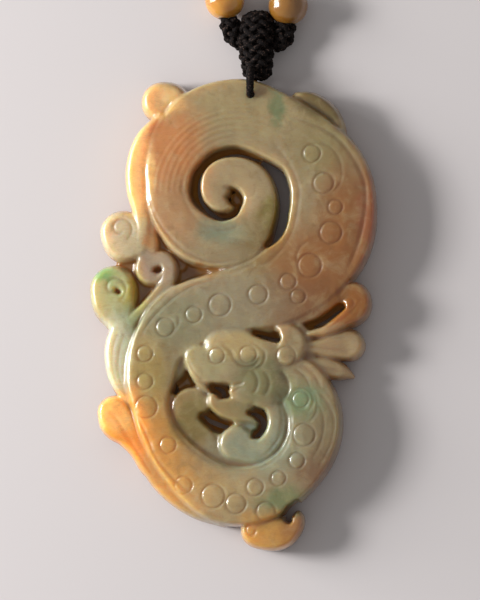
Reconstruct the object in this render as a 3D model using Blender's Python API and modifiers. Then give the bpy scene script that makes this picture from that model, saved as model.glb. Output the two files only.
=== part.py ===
"""A pierced jade pendant: a coiled dragon in low relief, lying on its flat back.

A black cord is looped through a drilled hole at the top edge, tied in a braided knot,
threaded through two polished beads and wound into a tied coil above them.
The origin is the middle of the carving's back. +Y runs to the drilled hole, +Z to the viewer.
All lengths are in metres.
"""
import math

import bmesh
import bpy
import numpy as np

# Driving sizes
CARVING_LENGTH = 0.065
CARVING_THICKNESS = 0.0070
BACK_ROUNDING = 0.0007
HOLE_WEB = 0.0016
CORD_DIAMETER = 0.0012
CORD_GAP = 0.00028
KNOT_WIDTH = 0.0046
KNOT_LENGTH = 0.0088
KNOT_THICKNESS = 0.0036
KNOT_ROWS = 5
BEAD_DIAMETER = 0.0055
NECKLACE_LENGTH = 0.60
TIE_DIAMETER = 0.0005

# The coil's middle radius and its distance from the beads, in cord diameters
COIL_RADIUS = 5.5
LEAD_LENGTH = 6.0

# Fineness of the faceted carving
GRID_STEP = 0.00042
CARVING_TRIANGLES = 6000
TIE_POINTS = 20

# The drawing below is measured in 65ths of the carving's length
UNIT = CARVING_LENGTH / 65.0

DRAWING_HALF_WIDTH = 21.0
DRAWING_HALF_LENGTH = 33.5

# Each ribbon of the relief: the height of its surface at its start and end, and of its foot,
# as shares of the thickness, how far in its edge is rounded, how far its middle bulges, and its
# middle line as points (x, y, half width) in drawing units, from the middle of the carving
RIBBONS = {
    "body": (0.77, 0.80, 0.36, 1.2, 0.03, [
        (-0.35, 14.4, 0.5), (-1.3, 14.6, 1.05), (-2.55, 15.6, 1.65), (-3.0, 17.3, 1.75),
        (-1.9, 18.9, 2.2), (0.5, 19.2, 2.4), (2.7, 18.0, 2.5), (3.7, 15.6, 2.5),
        (3.2, 13.0, 2.8), (1.2, 10.1, 3.5), (-2.4, 9.4, 3.55), (-5.8, 10.75, 3.6),
        (-8.3, 13.9, 3.2), (-9.0, 17.6, 3.2), (-8.1, 21.8, 3.75), (-4.7, 26.1, 4.7),
        (0.8, 27.4, 4.95), (5.9, 25.6, 4.9), (10.6, 22.7, 5.2), (13.1, 18.4, 5.7),
        (13.6, 13.8, 6.05), (12.6, 9.7, 6.2), (9.6, 5.8, 5.9), (5.8, 3.2, 5.3),
        (1.7, 1.9, 4.7), (-2.6, 1.0, 4.5), (-7.0, -1.0, 4.7), (-10.2, -4.5, 3.9),
        (-11.4, -8.7, 3.6), (-11.3, -12.9, 2.7), (-9.8, -17.0, 2.8), (-6.6, -21.2, 3.4),
        (-1.7, -24.8, 4.1), (3.8, -24.7, 4.0), (8.3, -21.8, 3.6), (10.7, -17.9, 3.7),
        (11.0, -13.8, 3.8), (9.4, -10.1, 3.5), (7.4, -7.9, 2.2)]),
    "mane_band": (0.70, 0.60, 0.36, 1.1, 0.02, [
        (-9.9, 26.7, 1.1), (-12.0, 23.9, 1.7), (-13.1, 20.6, 1.8), (-13.2, 17.3, 1.7),
        (-12.6, 14.2, 1.4), (-12.3, 11.5, 1.0), (-12.4, 9.3, 1.0)]),
    "top_knob": (0.66, 0.68, 0.36, 1.8, 0.02, [
        (-9.9, 29.2, 2.95), (-8.7, 29.5, 2.4), (-6.8, 28.8, 1.6)]),
    "top_lobe": (0.52, 0.50, 0.36, 0.9, 0.02, [
        (9.3, 29.0, 1.35), (11.0, 28.4, 2.0), (13.0, 27.0, 2.0), (14.2, 25.6, 1.3)]),
    "upper_curl": (0.58, 0.66, 0.36, 1.3, 0.02, [
        (-12.6, 8.6, 1.2), (-14.0, 9.0, 1.9), (-15.3, 9.6, 2.6), (-15.4, 11.1, 3.15)]),
    "green_curl": (0.64, 0.68, 0.36, 1.4, 0.02, [
        (-15.3, -1.9, 1.9), (-15.9, -0.2, 2.4), (-16.4, 1.5, 3.2), (-16.6, 3.3, 3.35)]),
    "side_mane": (0.68, 0.60, 0.36, 1.2, 0.02, [
        (-15.0, -2.1, 2.0), (-15.8, -4.8, 2.1), (-15.6, -7.9, 2.0), (-14.9, -10.4, 1.5),
        (-13.9, -12.3, 1.0)]),
    "small_curl": (0.72, 0.68, 0.36, 0.9, 0.01, [
        (-14.6, -2.3, 1.1), (-13.3, -0.4, 0.9), (-11.8, 1.1, 0.9), (-10.2, 2.8, 1.0),
        (-9.0, 4.3, 1.2), (-8.9, 5.7, 1.35), (-9.9, 6.6, 2.0), (-11.3, 6.1, 2.4)]),
    "orange_curl": (0.66, 0.68, 0.36, 1.3, 0.02, [
        (-9.3, -22.6, 1.6), (-11.2, -20.9, 1.8), (-12.9, -18.6, 1.6), (-14.6, -16.4, 2.0),
        (-15.9, -14.9, 2.6), (-16.5, -13.6, 2.35)]),
    "lower_rim": (0.64, 0.64, 0.36, 1.1, 0.02, [
        (-11.5, -20.6, 1.4), (-10.0, -22.6, 1.7), (-7.6, -24.8, 1.8), (-4.8, -26.6, 1.7),
        (-1.5, -27.5, 1.8)]),
    "tail_knob": (0.66, 0.64, 0.36, 1.2, 0.02, [
        (3.8, -27.2, 1.6), (2.8, -29.8, 1.9), (4.4, -30.3, 2.2), (6.2, -30.2, 2.2),
        (7.7, -29.4, 1.65), (8.7, -28.4, 0.95), (8.75, -27.6, 0.55)]),
    "hooked_petal": (0.80, 0.72, 0.36, 1.1, 0.02, [
        (10.4, -3.1, 0.7), (12.8, -2.6, 0.95), (15.0, -1.2, 1.35), (16.7, 0.3, 1.9),
        (16.8, 1.7, 2.05), (16.2, 2.4, 1.75), (14.9, 2.0, 1.3), (14.2, 1.5, 0.65)]),
    "round_petal": (0.78, 0.66, 0.36, 1.2, 0.02, [
        (10.4, -4.9, 1.1), (12.6, -4.9, 1.55), (14.5, -4.7, 1.95), (15.8, -4.5, 2.2)]),
    "pointed_petal": (0.72, 0.56, 0.36, 1.0, 0.0, [
        (10.4, -6.9, 1.0), (12.5, -7.5, 1.4), (14.2, -8.0, 1.3), (15.4, -8.4, 0.75),
        (16.2, -8.8, 0.3)]),
    "face": (0.86, 0.86, 0.36, 1.0, 0.02, [
        (-4.7, -6.4, 2.1), (-3.6, -7.4, 2.55), (-1.2, -7.6, 2.5), (1.2, -7.8, 2.6)]),
    "lip": (0.86, 0.80, 0.36, 0.7, 0.0, [
        (-5.3, -8.2, 0.9), (-4.6, -9.4, 0.85), (-3.9, -10.3, 0.65), (-3.3, -10.95, 0.4)]),
    "skull": (0.99, 0.95, 0.74, 2.3, 0.0, [
        (-1.4, -4.9, 2.5), (0.8, -5.0, 2.6), (3.2, -5.6, 2.4), (5.4, -6.0, 2.0)]),
    "nostril": (0.94, 0.94, 0.74, 0.9, 0.0, [(-5.8, -5.3, 1.0), (-5.1, -5.2, 0.95)]),
    "cheek": (0.93, 0.93, 0.68, 2.0, 0.02, [(3.2, -9.9, 3.3), (4.2, -10.1, 3.3)]),
    "mouth_corner": (0.87, 0.90, 0.36, 0.8, 0.0, [(0.7, -10.9, 1.4), (2.2, -11.2, 1.8)]),
    "lower_jaw": (0.84, 0.80, 0.45, 0.9, 0.01, [
        (-2.75, -11.7, 0.75), (-2.2, -12.6, 1.2), (-0.9, -13.2, 1.55), (0.9, -13.4, 1.8),
        (1.9, -14.3, 0.95), (2.8, -14.9, 0.45), (3.4, -15.2, 0.15)]),
    "beard_leaf": (0.70, 0.60, 0.36, 1.0, 0.02, [
        (-4.3, -12.6, 1.4), (-5.2, -12.1, 1.85), (-6.2, -12.7, 2.3), (-6.4, -14.4, 1.85), (-5.6, -16.0, 1.85),
        (-3.9, -17.6, 1.8), (-2.7, -19.2, 1.25), (-0.9, -20.5, 0.85)]),
    "throat_curl": (0.80, 0.76, 0.40, 1.2, 0.02, [
        (5.2, -12.6, 1.3), (5.9, -13.8, 1.5), (6.1, -15.3, 1.55), (5.4, -17.5, 1.65),
        (3.3, -19.1, 1.8), (0.5, -18.0, 2.55)]),
    "ear": (0.94, 0.90, 0.66, 1.3, 0.0, [
        (7.5, -6.2, 1.75), (8.2, -5.0, 1.75), (8.1, -4.0, 1.75), (7.4, -3.3, 1.45),
        (6.3, -2.7, 0.6), (5.6, -2.35, 0.3)]),
    "under_body": (0.74, 0.76, 0.36, 0.9, 0.01, [
        (2.0, -1.7, 1.0), (5.2, -1.5, 1.15), (7.8, -1.0, 1.15), (10.0, -0.7, 1.1),
        (12.0, 0.3, 1.1), (13.8, 1.6, 1.1)]),
    "petal_root": (0.74, 0.66, 0.36, 0.7, 0.0, [
        (9.2, -2.4, 0.9), (10.0, -2.9, 0.8), (10.1, -3.8, 0.9), (10.2, -5.2, 1.1), (10.2, -6.6, 1.2)]),
    "chin_web": (0.55, 0.50, 0.36, 0.5, 0.0, [
        (2.9, -15.7, 0.6), (1.9, -15.8, 0.9), (0.4, -15.7, 0.7), (-1.6, -17.3, 0.8),
        (-2.6, -17.1, 0.9)]),
    "ring_web": (0.30, 0.40, 0.30, 0.6, 0.0, [
        (-7.6, 5.6, 1.6), (-5.5, 5.6, 1.15), (-2.5, 5.4, 0.7), (1.5, 6.2, 0.9), (4.1, 8.2, 0.6)]),
    "curl_web": (0.34, 0.34, 0.30, 0.6, 0.0, [
        (-11.3, 12.3, 0.6), (-11.1, 10.2, 1.4), (-12.6, 8.0, 1.4), (-15.1, 6.8, 1.2),
        (-13.4, 4.2, 1.1), (-11.9, 3.1, 1.35), (-13.6, 0.4, 1.0)]),
    "ring_side_web": (0.44, 0.36, 0.30, 0.5, 0.0, [
        (-10.6, 9.6, 0.9), (-8.8, 7.9, 0.9), (-7.3, 6.6, 0.9)]),
    "side_web": (0.46, 0.46, 0.36, 0.6, 0.0, [
        (-13.3, -12.6, 1.7), (-11.7, -15.1, 1.9), (-8.6, -18.7, 1.9)]),
    "inner_web": (0.52, 0.50, 0.36, 0.6, 0.0, [
        (-8.4, -12.0, 1.0), (-8.3, -14.6, 1.0), (-6.6, -17.8, 1.0), (-3.8, -20.0, 1.0),
        (0.4, -21.2, 1.0), (4.4, -20.9, 1.0), (7.2, -17.9, 1.0), (7.6, -14.4, 1.0)]),
}

# Slots and pits carved into the ribbons: the height of the floor as a share of the thickness,
# or 0 where it goes right through, how far out its upper edge is sloped, and its middle line
SLOTS = {
    "over_brow": (0.0, 0.45, [
        (1.7, -2.68, 0.05), (3.0, -2.98, 0.24), (4.3, -3.32, 0.42), (5.5, -3.5, 0.56),
        (6.0, -3.55, 0.58)]),
    "mouth": (0.0, 0.45, [
        (-3.1, -10.05, 0.15), (-2.3, -10.35, 0.35), (-1.5, -10.7, 0.62), (-1.4, -11.3, 0.5),
        (-1.55, -11.8, 0.25)]),
    "before_snout": (0.0, 0.6, [
        (-7.3, -7.3, 0.15), (-7.05, -8.3, 0.35), (-6.65, -9.2, 0.5), (-6.35, -9.7, 0.42)]),
    "beard": (0.0, 0.45, [
        (-4.5, -14.0, 0.3), (-3.5, -14.75, 0.58), (-2.4, -15.2, 0.8), (-1.5, -15.6, 0.66),
        (-0.8, -15.55, 0.3)]),
    "throat": (0.0, 0.4, [
        (1.9, -13.75, 0.25), (2.9, -13.95, 0.42), (3.7, -14.5, 0.46), (3.95, -15.3, 0.4),
        (3.7, -16.1, 0.4), (3.2, -16.75, 0.46), (2.6, -17.05, 0.42)]),
    "petal": (0.0, 0.45, [
        (10.4, -2.1, 0.1), (11.6, -1.6, 0.36), (12.9, -0.95, 0.5), (14.2, 0.0, 0.52),
        (15.1, 0.62, 0.32)]),
    "ring_end": (0.0, 0.4, [
        (6.9, 12.8, 0.5), (6.5, 11.3, 0.45), (5.7, 10.0, 0.32), (4.7, 9.1, 0.1)]),
    "tail": (0.0, 0.4, [
        (8.8, -26.3, 0.4), (7.7, -27.2, 0.42), (7.4, -28.0, 0.4), (7.6, -28.5, 0.2)]),
    "small_pit": (0.30, 0.45, [(-10.7, 5.85, 0.42), (-10.3, 5.95, 0.46)]),
    "green_pit": (0.42, 0.45, [(-16.1, 3.1, 0.4), (-15.7, 2.85, 0.36)]),
}

# Ringed pearls on the body and round the eyes: x, y and radius in drawing units
PEARLS = (
    (10.9, 21.4, 1.2), (12.5, 17.4, 1.4), (14.1, 14.1, 1.1), (13.5, 10.8, 1.5), (10.6, 6.1, 1.5),
    (7.6, 4.0, 1.2), (9.1, 1.9, 1.0), (3.5, 2.4, 1.4), (-1.7, 0.8, 1.4), (-5.3, -0.1, 1.1),
    (-9.0, -1.9, 1.2), (-12.2, -5.7, 1.0), (-12.0, -9.5, 1.1), (-11.0, -13.4, 1.2),
    (-8.8, -18.1, 1.2), (-6.7, -23.8, 1.1), (-2.6, -25.0, 1.5), (0.8, -26.2, 1.4),
    (3.3, -23.6, 1.2), (4.4, -27.2, 1.1), (6.2, -22.5, 1.0), (8.8, -20.4, 1.0),
    (9.9, -17.0, 1.5), (9.3, -12.1, 1.1), (-2.1, -6.2, 1.1), (2.5, -6.0, 1.1), (7.3, -6.2, 1.2))
PEARL_RISE = 0.02
BULGE_REACH = 4.0
SLOT_FOOT = 0.36

# Carved spirals on the curls: centre, outer and inner radius in drawing units,
# and the angles, in degrees, where the line starts and ends
SPIRALS = (
    (-15.6, 11.4, 1.7, 0.5, -60.0, 250.0),
    (-16.4, 3.4, 1.9, 0.5, -70.0, 240.0),
    (15.9, 0.9, 1.2, 0.4, 200.0, -80.0),
    (-11.0, 5.8, 0.9, 0.5, 60.0, -60.0))
GROOVE_DEPTH = 0.06
GROOVE_WIDTH = 0.30

# Where things stand, in drawing units
HOLE_X = 2.5
KNOT_X = 2.9
BEAD_PLACES = {"bead_left": -4.2, "bead_right": 4.6}
BEAD_RISE = {"bead_left": 2.0, "bead_right": 1.1}


def clear_scene():
    """Remove every object of the scene."""
    for item in list(bpy.data.objects):
        bpy.data.objects.remove(item, do_unlink=True)


def make_collection(name):
    """Make a collection under the scene's own."""
    collection = bpy.data.collections.new(name)
    bpy.context.scene.collection.children.link(collection)
    return collection


def make_material(name, colour, roughness, metallic=0.0):
    """Make a Principled material."""
    material = bpy.data.materials.new(name)
    material.use_nodes = True
    shader = material.node_tree.nodes["Principled BSDF"]
    shader.inputs["Base Color"].default_value = (*colour, 1.0)
    shader.inputs["Roughness"].default_value = roughness
    shader.inputs["Metallic"].default_value = metallic
    return material


def put(item, name, material, collection):
    """Name an object, give it its material and move it to its collection."""
    item.name = name
    item.data.name = name
    item.data.materials.clear()
    item.data.materials.append(material)
    for old in list(item.users_collection):
        old.objects.unlink(item)
    collection.objects.link(item)
    return item


def smooth_line(points, steps):
    """A Catmull-Rom curve through the points, with so many steps between each two."""
    points = np.asarray(points, dtype=float)
    ends = np.vstack([2 * points[0] - points[1], points, 2 * points[-1] - points[-2]])
    t = np.linspace(0.0, 1.0, steps, endpoint=False)[:, None]
    parts = []
    for a, b, c, d in zip(ends[:-3], ends[1:-2], ends[2:-1], ends[3:]):
        parts.append(0.5 * (2 * b + (c - a) * t + (2 * a - 5 * b + 4 * c - d) * t ** 2
                            + (3 * b - a - 3 * c + d) * t ** 3))
    return np.vstack(parts + [points[-1:]])


def ribbon_reach(x, y, line):
    """How far inside a ribbon each point is, and how far along it, from 0 to 1."""
    reach = np.full(x.shape, -1.0)
    along = np.zeros(x.shape)
    for number, (px, py, half_width) in enumerate(line):
        inside = half_width - np.hypot(x - px, y - py)
        nearer = inside > reach
        reach[nearer] = inside[nearer]
        along[nearer] = number / (len(line) - 1)
    return reach, along


def spiral_line(spiral, count=24):
    """Points along a carved spiral, whose radius shrinks evenly with its angle."""
    cx, cy, outer, inner, start, end = spiral
    angle = np.radians(np.linspace(start, end, count))
    radius = np.linspace(outer, inner, count)
    return np.stack([cx + radius * np.cos(angle), cy + radius * np.sin(angle)], axis=1)


def relief(x, y):
    """The carving's reach inside its outline, and its front and back heights, at each point.

    Every ribbon rises from its foot in a quarter round to its own height, and the highest
    ribbon shows. Slots and pits with sloped upper edges are sunk into them. Pearls stand up on
    them and spirals are cut into them. The back is flat with a rounded edge, and has a channel
    for the cord from the drilled hole to the top edge.
    """
    u = x / UNIT
    v = y / UNIT
    reach = np.full(u.shape, -1.0)
    front = np.zeros(u.shape)
    for start, end, foot, rounding, bulge, points in RIBBONS.values():
        inside, along = ribbon_reach(u, v, smooth_line(points, 8))
        top = start + (end - start) * along
        rise = np.clip(inside / rounding, 0.0, 1.0)
        height = foot + (top - foot) * np.sqrt(1.0 - (1.0 - rise) ** 2)
        height = height + bulge * np.clip(inside / BULGE_REACH, 0.0, 1.0)
        front = np.where(inside > -0.05, np.maximum(front, height), front)
        reach = np.maximum(reach, inside)
    for floor, taper, points in SLOTS.values():
        inside, _ = ribbon_reach(u, v, smooth_line(points, 8))
        rise = np.clip(-inside / taper, 0.0, 1.0)
        low = floor if floor > 0.0 else SLOT_FOOT
        sloped = low + (front - low) * np.sqrt(1.0 - (1.0 - rise) ** 2)
        front = np.where(rise < 1.0, np.minimum(front, sloped), front)
        if floor == 0.0:
            reach = np.minimum(reach, -inside)
    for px, py, radius in PEARLS:
        near = np.clip(1.0 - np.hypot(u - px, v - py) / radius, 0.0, 1.0)
        front = front + PEARL_RISE * np.sqrt(near)
    for spiral in SPIRALS:
        distance = np.full(u.shape, 9.0)
        for px, py in spiral_line(spiral):
            distance = np.minimum(distance, np.hypot(u - px, v - py))
        front = front - GROOVE_DEPTH * np.exp(-(distance / GROOVE_WIDTH) ** 2)
    front = front * CARVING_THICKNESS
    hole = np.hypot(x - HOLE_X * UNIT, y - hole_y()) - hole_radius()
    reach = np.minimum(reach * UNIT, hole)
    rise = np.clip(reach / BACK_ROUNDING, 0.0, 1.0)
    back = BACK_ROUNDING * (1.0 - np.sqrt(1.0 - (1.0 - rise) ** 2))
    across = np.abs(x - HOLE_X * UNIT) / (hole_radius() + GRID_STEP)
    channel = hole_radius() * (1.0 + np.sqrt(np.clip(1.0 - across ** 2, 0.0, 1.0)))
    in_channel = (across < 1.0) & (y > hole_y())
    back = np.where(in_channel, np.maximum(back, channel), back)
    return reach, front, back


def hole_radius():
    """The drilled hole lets the cord through with a gap."""
    return CORD_DIAMETER / 2 + CORD_GAP


def top_edge():
    """The height of the carving's top edge, the highest point of the body's ribbon."""
    line = smooth_line(RIBBONS["body"][5], 8)
    return float((line[:, 1] + line[:, 2]).max()) * UNIT


def hole_y():
    """The hole's middle lies a web and its own radius below the top edge."""
    return top_edge() - HOLE_WEB - hole_radius()


def cut_triangles(triangles, level):
    """Cut triangles where the level is zero and keep the positive side.

    Returns the kept triangles, the two corners and share of each new point, which are
    numbered after the old ones, and the cut's edges in the triangles' own turning sense.
    """
    inside = level[triangles] > 0
    count = inside.sum(axis=1)
    whole = triangles[count == 3]

    def turned(rows, first):
        order = (first[:, None] + np.arange(3)) % 3
        return rows[np.arange(len(rows))[:, None], order]

    lone = turned(triangles[count == 1], np.argmax(inside[count == 1], axis=1))
    pair = turned(triangles[count == 2], np.argmin(inside[count == 2], axis=1))
    cuts = np.vstack([lone[:, [0, 1]], lone[:, [0, 2]], pair[:, [0, 1]], pair[:, [0, 2]]])
    edges, numbers = np.unique(np.sort(cuts, axis=1), axis=0, return_inverse=True)
    numbers = numbers.reshape(-1) + len(level)
    splits = np.cumsum([len(lone), len(lone), len(pair)])
    lone_ab, lone_ac, pair_ab, pair_ac = np.split(numbers, splits)
    kept = np.vstack([
        whole,
        np.stack([lone[:, 0], lone_ab, lone_ac], axis=1),
        np.stack([pair_ab, pair[:, 1], pair[:, 2]], axis=1),
        np.stack([pair_ab, pair[:, 2], pair_ac], axis=1)])
    border = np.vstack([np.stack([lone_ab, lone_ac], axis=1), np.stack([pair_ac, pair_ab], axis=1)])
    share = level[edges[:, 0]] / (level[edges[:, 0]] - level[edges[:, 1]])
    return kept, edges, share, border


def make_carving(material, collection):
    """The jade: front and back surfaces over one cut grid, joined by the wall at its border."""
    half_x = DRAWING_HALF_WIDTH * UNIT
    half_y = DRAWING_HALF_LENGTH * UNIT
    columns = int(2 * half_x / GRID_STEP) + 1
    rows = int(2 * half_y / GRID_STEP) + 1
    x, y = np.meshgrid(np.linspace(-half_x, half_x, columns), np.linspace(-half_y, half_y, rows))
    x = x.ravel()
    y = y.ravel()
    level = relief(x, y)[0]
    least = 0.1 * GRID_STEP
    level = np.where(np.abs(level) < least, np.where(level > 0, least, -least), level)
    number = np.arange(columns * rows).reshape(rows, columns)
    a, b, c, d = (part.ravel() for part in (
        number[:-1, :-1], number[:-1, 1:], number[1:, 1:], number[1:, :-1]))
    squares = np.vstack([np.stack([a, b, c], axis=1), np.stack([a, c, d], axis=1)])
    kept, edges, share, border = cut_triangles(squares, level)
    x = np.concatenate([x, x[edges[:, 0]] + share * (x[edges[:, 1]] - x[edges[:, 0]])])
    y = np.concatenate([y, y[edges[:, 0]] + share * (y[edges[:, 1]] - y[edges[:, 0]])])
    used, kept = np.unique(kept, return_inverse=True)
    kept = kept.reshape(-1, 3)
    border = np.searchsorted(used, border)
    x = x[used]
    y = y[used]
    _, front, back = relief(x, y)
    size = len(used)
    points = np.vstack([np.stack([x, y, front], axis=1), np.stack([x, y, back], axis=1)])
    wall = np.vstack([
        np.stack([border[:, 1], border[:, 0], border[:, 0] + size], axis=1),
        np.stack([border[:, 1], border[:, 0] + size, border[:, 1] + size], axis=1)])
    faces = np.vstack([kept, kept[:, ::-1] + size, wall])
    mesh = bpy.data.meshes.new("jade_dragon")
    mesh.from_pydata(points.tolist(), [], faces.tolist())
    mesh.update()
    carving = bpy.data.objects.new("jade_dragon", mesh)
    collection.objects.link(carving)
    put(carving, "jade_dragon", material, collection)
    thinned = carving.modifiers.new("Decimate", "DECIMATE")
    thinned.decimate_type = "COLLAPSE"
    thinned.use_collapse_triangulate = True
    thinned.ratio = min(1.0, CARVING_TRIANGLES / len(faces))
    return carving


def make_tube(name, points, diameter, collection):
    """A round tube with closed ends along the points, as a mesh."""
    curve = bpy.data.curves.new(name, "CURVE")
    curve.dimensions = "3D"
    curve.bevel_depth = diameter / 2
    curve.bevel_resolution = 2
    curve.use_fill_caps = True
    spline = curve.splines.new("POLY")
    spline.points.add(len(points) - 1)
    for point, place in zip(spline.points, points):
        point.co = (*place, 1.0)
    drawn = bpy.data.objects.new(name, curve)
    collection.objects.link(drawn)
    bpy.context.view_layer.update()
    evaluated = drawn.evaluated_get(bpy.context.evaluated_depsgraph_get())
    mesh = bpy.data.meshes.new_from_object(evaluated)
    shell = bmesh.new()
    shell.from_mesh(mesh)
    bmesh.ops.remove_doubles(shell, verts=shell.verts, dist=0.00001)
    shell.to_mesh(mesh)
    shell.free()
    tube = bpy.data.objects.new(name, mesh)
    tube.matrix_world = drawn.matrix_world
    bpy.data.objects.remove(drawn, do_unlink=True)
    collection.objects.link(tube)
    return tube


def make_lump(name, place, size, material, collection):
    """An ellipsoid, as one of the knot's lumps."""
    bpy.ops.mesh.primitive_uv_sphere_add(segments=10, ring_count=6, radius=0.5, location=place)
    lump = bpy.context.object
    lump.scale = size
    return put(lump, name, material, collection)


def join_onto(base, pieces):
    """Join each piece onto the base with a Boolean union."""
    for piece in pieces:
        piece.hide_render = True
        piece.display_type = "WIRE"
        union = base.modifiers.new("Join " + piece.name, "BOOLEAN")
        union.operation = "UNION"
        union.solver = "EXACT"
        union.object = piece


def arc_round(middle_y, middle_z, radius, start, end, count):
    """Points (y, z) along an arc that looks from the side, with angles in degrees."""
    turns = np.radians(np.linspace(start, end, count))
    return [(middle_y + radius * math.cos(turn), middle_z + radius * math.sin(turn)) for turn in turns]


def loop_points():
    """The strand through the hole: behind the web, up the hole and over the web's front."""
    around = hole_radius()
    edge = top_edge()
    corner_y = hole_y() + around
    probe = np.linspace(corner_y - around, edge, 12)
    surface = float(relief(np.full(12, HOLE_X * UNIT), probe)[1].max())
    knot_z = KNOT_THICKNESS / 2
    route = [(edge + 2.5 * around, 0.8 * knot_z), (edge + 1.2 * around, around), (corner_y, around)]
    route += arc_round(corner_y, 2 * around, around, 240.0, 180.0, 3)
    route += arc_round(corner_y, surface, around, 180.0, 90.0, 4)
    route += [(edge + 0.4 * around, surface + 0.3 * around),
              (edge + 1.8 * around, knot_z + 0.35 * (surface - knot_z)),
              (edge + 3.0 * around, knot_z)]
    return [(HOLE_X * UNIT, py, pz) for py, pz in route]


def knot_bottom():
    """The knot's lower end stands clear of the carving's top edge."""
    return top_edge() + CORD_GAP


def make_knot(material, collection, cutters):
    """The braided knot: a column of crossed lumps, side loops under the beads, and the strand."""
    middle = KNOT_X * UNIT
    height = KNOT_THICKNESS / 2
    pitch = KNOT_LENGTH / KNOT_ROWS
    place = (middle, knot_bottom() + KNOT_LENGTH / 2, height)
    size = (0.8 * KNOT_WIDTH, KNOT_LENGTH, 0.92 * KNOT_THICKNESS)
    knot = make_lump("cord_knot", place, size, material, collection)
    pieces = []
    for row in range(KNOT_ROWS):
        widening = 0.62 + 0.38 * math.sin(math.pi * (row + 0.6) / (KNOT_ROWS + 0.6))
        for side in (-1, 1):
            place = (middle + side * 0.24 * KNOT_WIDTH * widening,
                     knot_bottom() + (0.86 + 0.88 * row + 0.2 * side) * pitch, height)
            size = (0.56 * KNOT_WIDTH * widening, 1.25 * pitch, 0.98 * KNOT_THICKNESS)
            pieces.append(make_lump("crossing_%d_%d" % (row, side), place, size, material, cutters))
    for bead, side in (("bead_left", -1), ("bead_right", 1)):
        bead_x, bead_y, _ = bead_middle(bead)
        length = 1.35 * pitch
        top = bead_y - BEAD_DIAMETER / 2 - 1.5 * CORD_GAP
        for count, (reach, drop) in enumerate(((0.84, 0.5), (0.66, 1.4))):
            place = (middle + reach * (bead_x - middle), top - drop * length, height)
            size = (0.62 * KNOT_WIDTH, length, 0.62 * KNOT_THICKNESS)
            pieces.append(make_lump("side_loop_%d_%d" % (side, count), place, size, material, cutters))
    pieces.append(make_tube("strand", smooth_line(loop_points(), 2), CORD_DIAMETER, cutters))
    join_onto(knot, pieces)
    return knot


def bead_middle(name):
    """Where a bead's middle lies: beside the knot's top, resting on the surface below."""
    return (KNOT_X * UNIT + BEAD_PLACES[name] * UNIT,
            knot_bottom() + KNOT_LENGTH + BEAD_RISE[name] * UNIT,
            BEAD_DIAMETER / 2)


def make_bead(name, material, collection, cutters):
    """A polished bead, bored through for the cord."""
    bpy.ops.mesh.primitive_uv_sphere_add(segments=16, ring_count=10, radius=BEAD_DIAMETER / 2,
                                         location=bead_middle(name))
    bead = put(bpy.context.object, name, material, collection)
    bpy.ops.mesh.primitive_cylinder_add(vertices=10, radius=hole_radius(), depth=BEAD_DIAMETER * 1.4,
                                        location=bead_middle(name), rotation=(math.pi / 2, 0.0, 0.0))
    drill = put(bpy.context.object, "drill_" + name, material, cutters)
    drill.hide_render = True
    drill.display_type = "WIRE"
    bore = bead.modifiers.new("Bore", "BOOLEAN")
    bore.operation = "DIFFERENCE"
    bore.solver = "EXACT"
    bore.object = drill
    return bead


def coil_shape():
    """The coil's middle, its turns' middle radius, its base, width and height.

    The turns lie side by side in as many layers as make a square bundle.
    """
    radius = COIL_RADIUS * CORD_DIAMETER
    turns = NECKLACE_LENGTH / (2 * math.pi * radius)
    layers = math.ceil(math.sqrt(turns))
    width = (turns / layers + 1.0) * CORD_DIAMETER
    height = layers * CORD_DIAMETER
    base = TIE_DIAMETER + CORD_GAP
    beads_top = bead_middle("bead_left")[1] + BEAD_DIAMETER / 2
    middle_y = beads_top + LEAD_LENGTH * CORD_DIAMETER + radius + width / 2
    return (KNOT_X * UNIT, middle_y), radius, base, width, height


def make_coil(material, collection):
    """The wound cord as one turned ring with rounded corners."""
    (cx, cy), radius, base, width, height = coil_shape()
    corner = 0.5 * CORD_DIAMETER
    inner = radius - width / 2
    outer = radius + width / 2
    profile = [
        (outer, height - corner), (outer, corner), (outer - corner, 0.0), (inner + corner, 0.0),
        (inner, corner), (inner, height - corner), (inner + corner, height), (outer - corner, height)]
    mesh = bpy.data.meshes.new("cord_coil")
    count = len(profile)
    mesh.from_pydata([(px, 0.0, pz) for px, pz in profile],
                     [(i, (i + 1) % count) for i in range(count)], [])
    coil = bpy.data.objects.new("cord_coil", mesh)
    collection.objects.link(coil)
    put(coil, "cord_coil", material, collection)
    coil.location = (cx, cy, base)
    screw = coil.modifiers.new("Screw", "SCREW")
    screw.axis = "Z"
    screw.steps = 32
    screw.render_steps = 32
    screw.use_merge_vertices = True
    screw.merge_threshold = 0.00001
    screw.use_smooth_shade = True
    return coil


def run_points(name):
    """The cord from the knot's side loop through a bead and over to the coil's side.

    The left run ends at the coil's lowest layer and the right run at its highest.
    """
    side = -1 if name == "bead_left" else 1
    bx, by, bz = bead_middle(name)
    (cx, cy), radius, base, width, height = coil_shape()
    half = CORD_DIAMETER / 2
    outer = radius + width / 2
    join_x = cx + side * (outer - half)
    join_y = cy - math.sqrt(outer ** 2 - (outer - CORD_DIAMETER) ** 2) - CORD_GAP
    join_z = base + half if side < 0 else base + height - half
    start = by - BEAD_DIAMETER / 2 - 0.5 * CORD_GAP
    beyond = by + BEAD_DIAMETER / 2
    span = join_y - beyond
    return smooth_line([
        (bx, start, bz),
        (bx, by, bz),
        (bx, beyond + 0.08 * span, bz - 0.2 * half),
        (bx + 0.30 * (join_x - bx), beyond + 0.35 * span, 0.45 * bz + 0.55 * half),
        (bx + 0.80 * (join_x - bx), beyond + 0.68 * span, 0.75 * half + 0.25 * join_z),
        (join_x, join_y, join_z)], 4)


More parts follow.
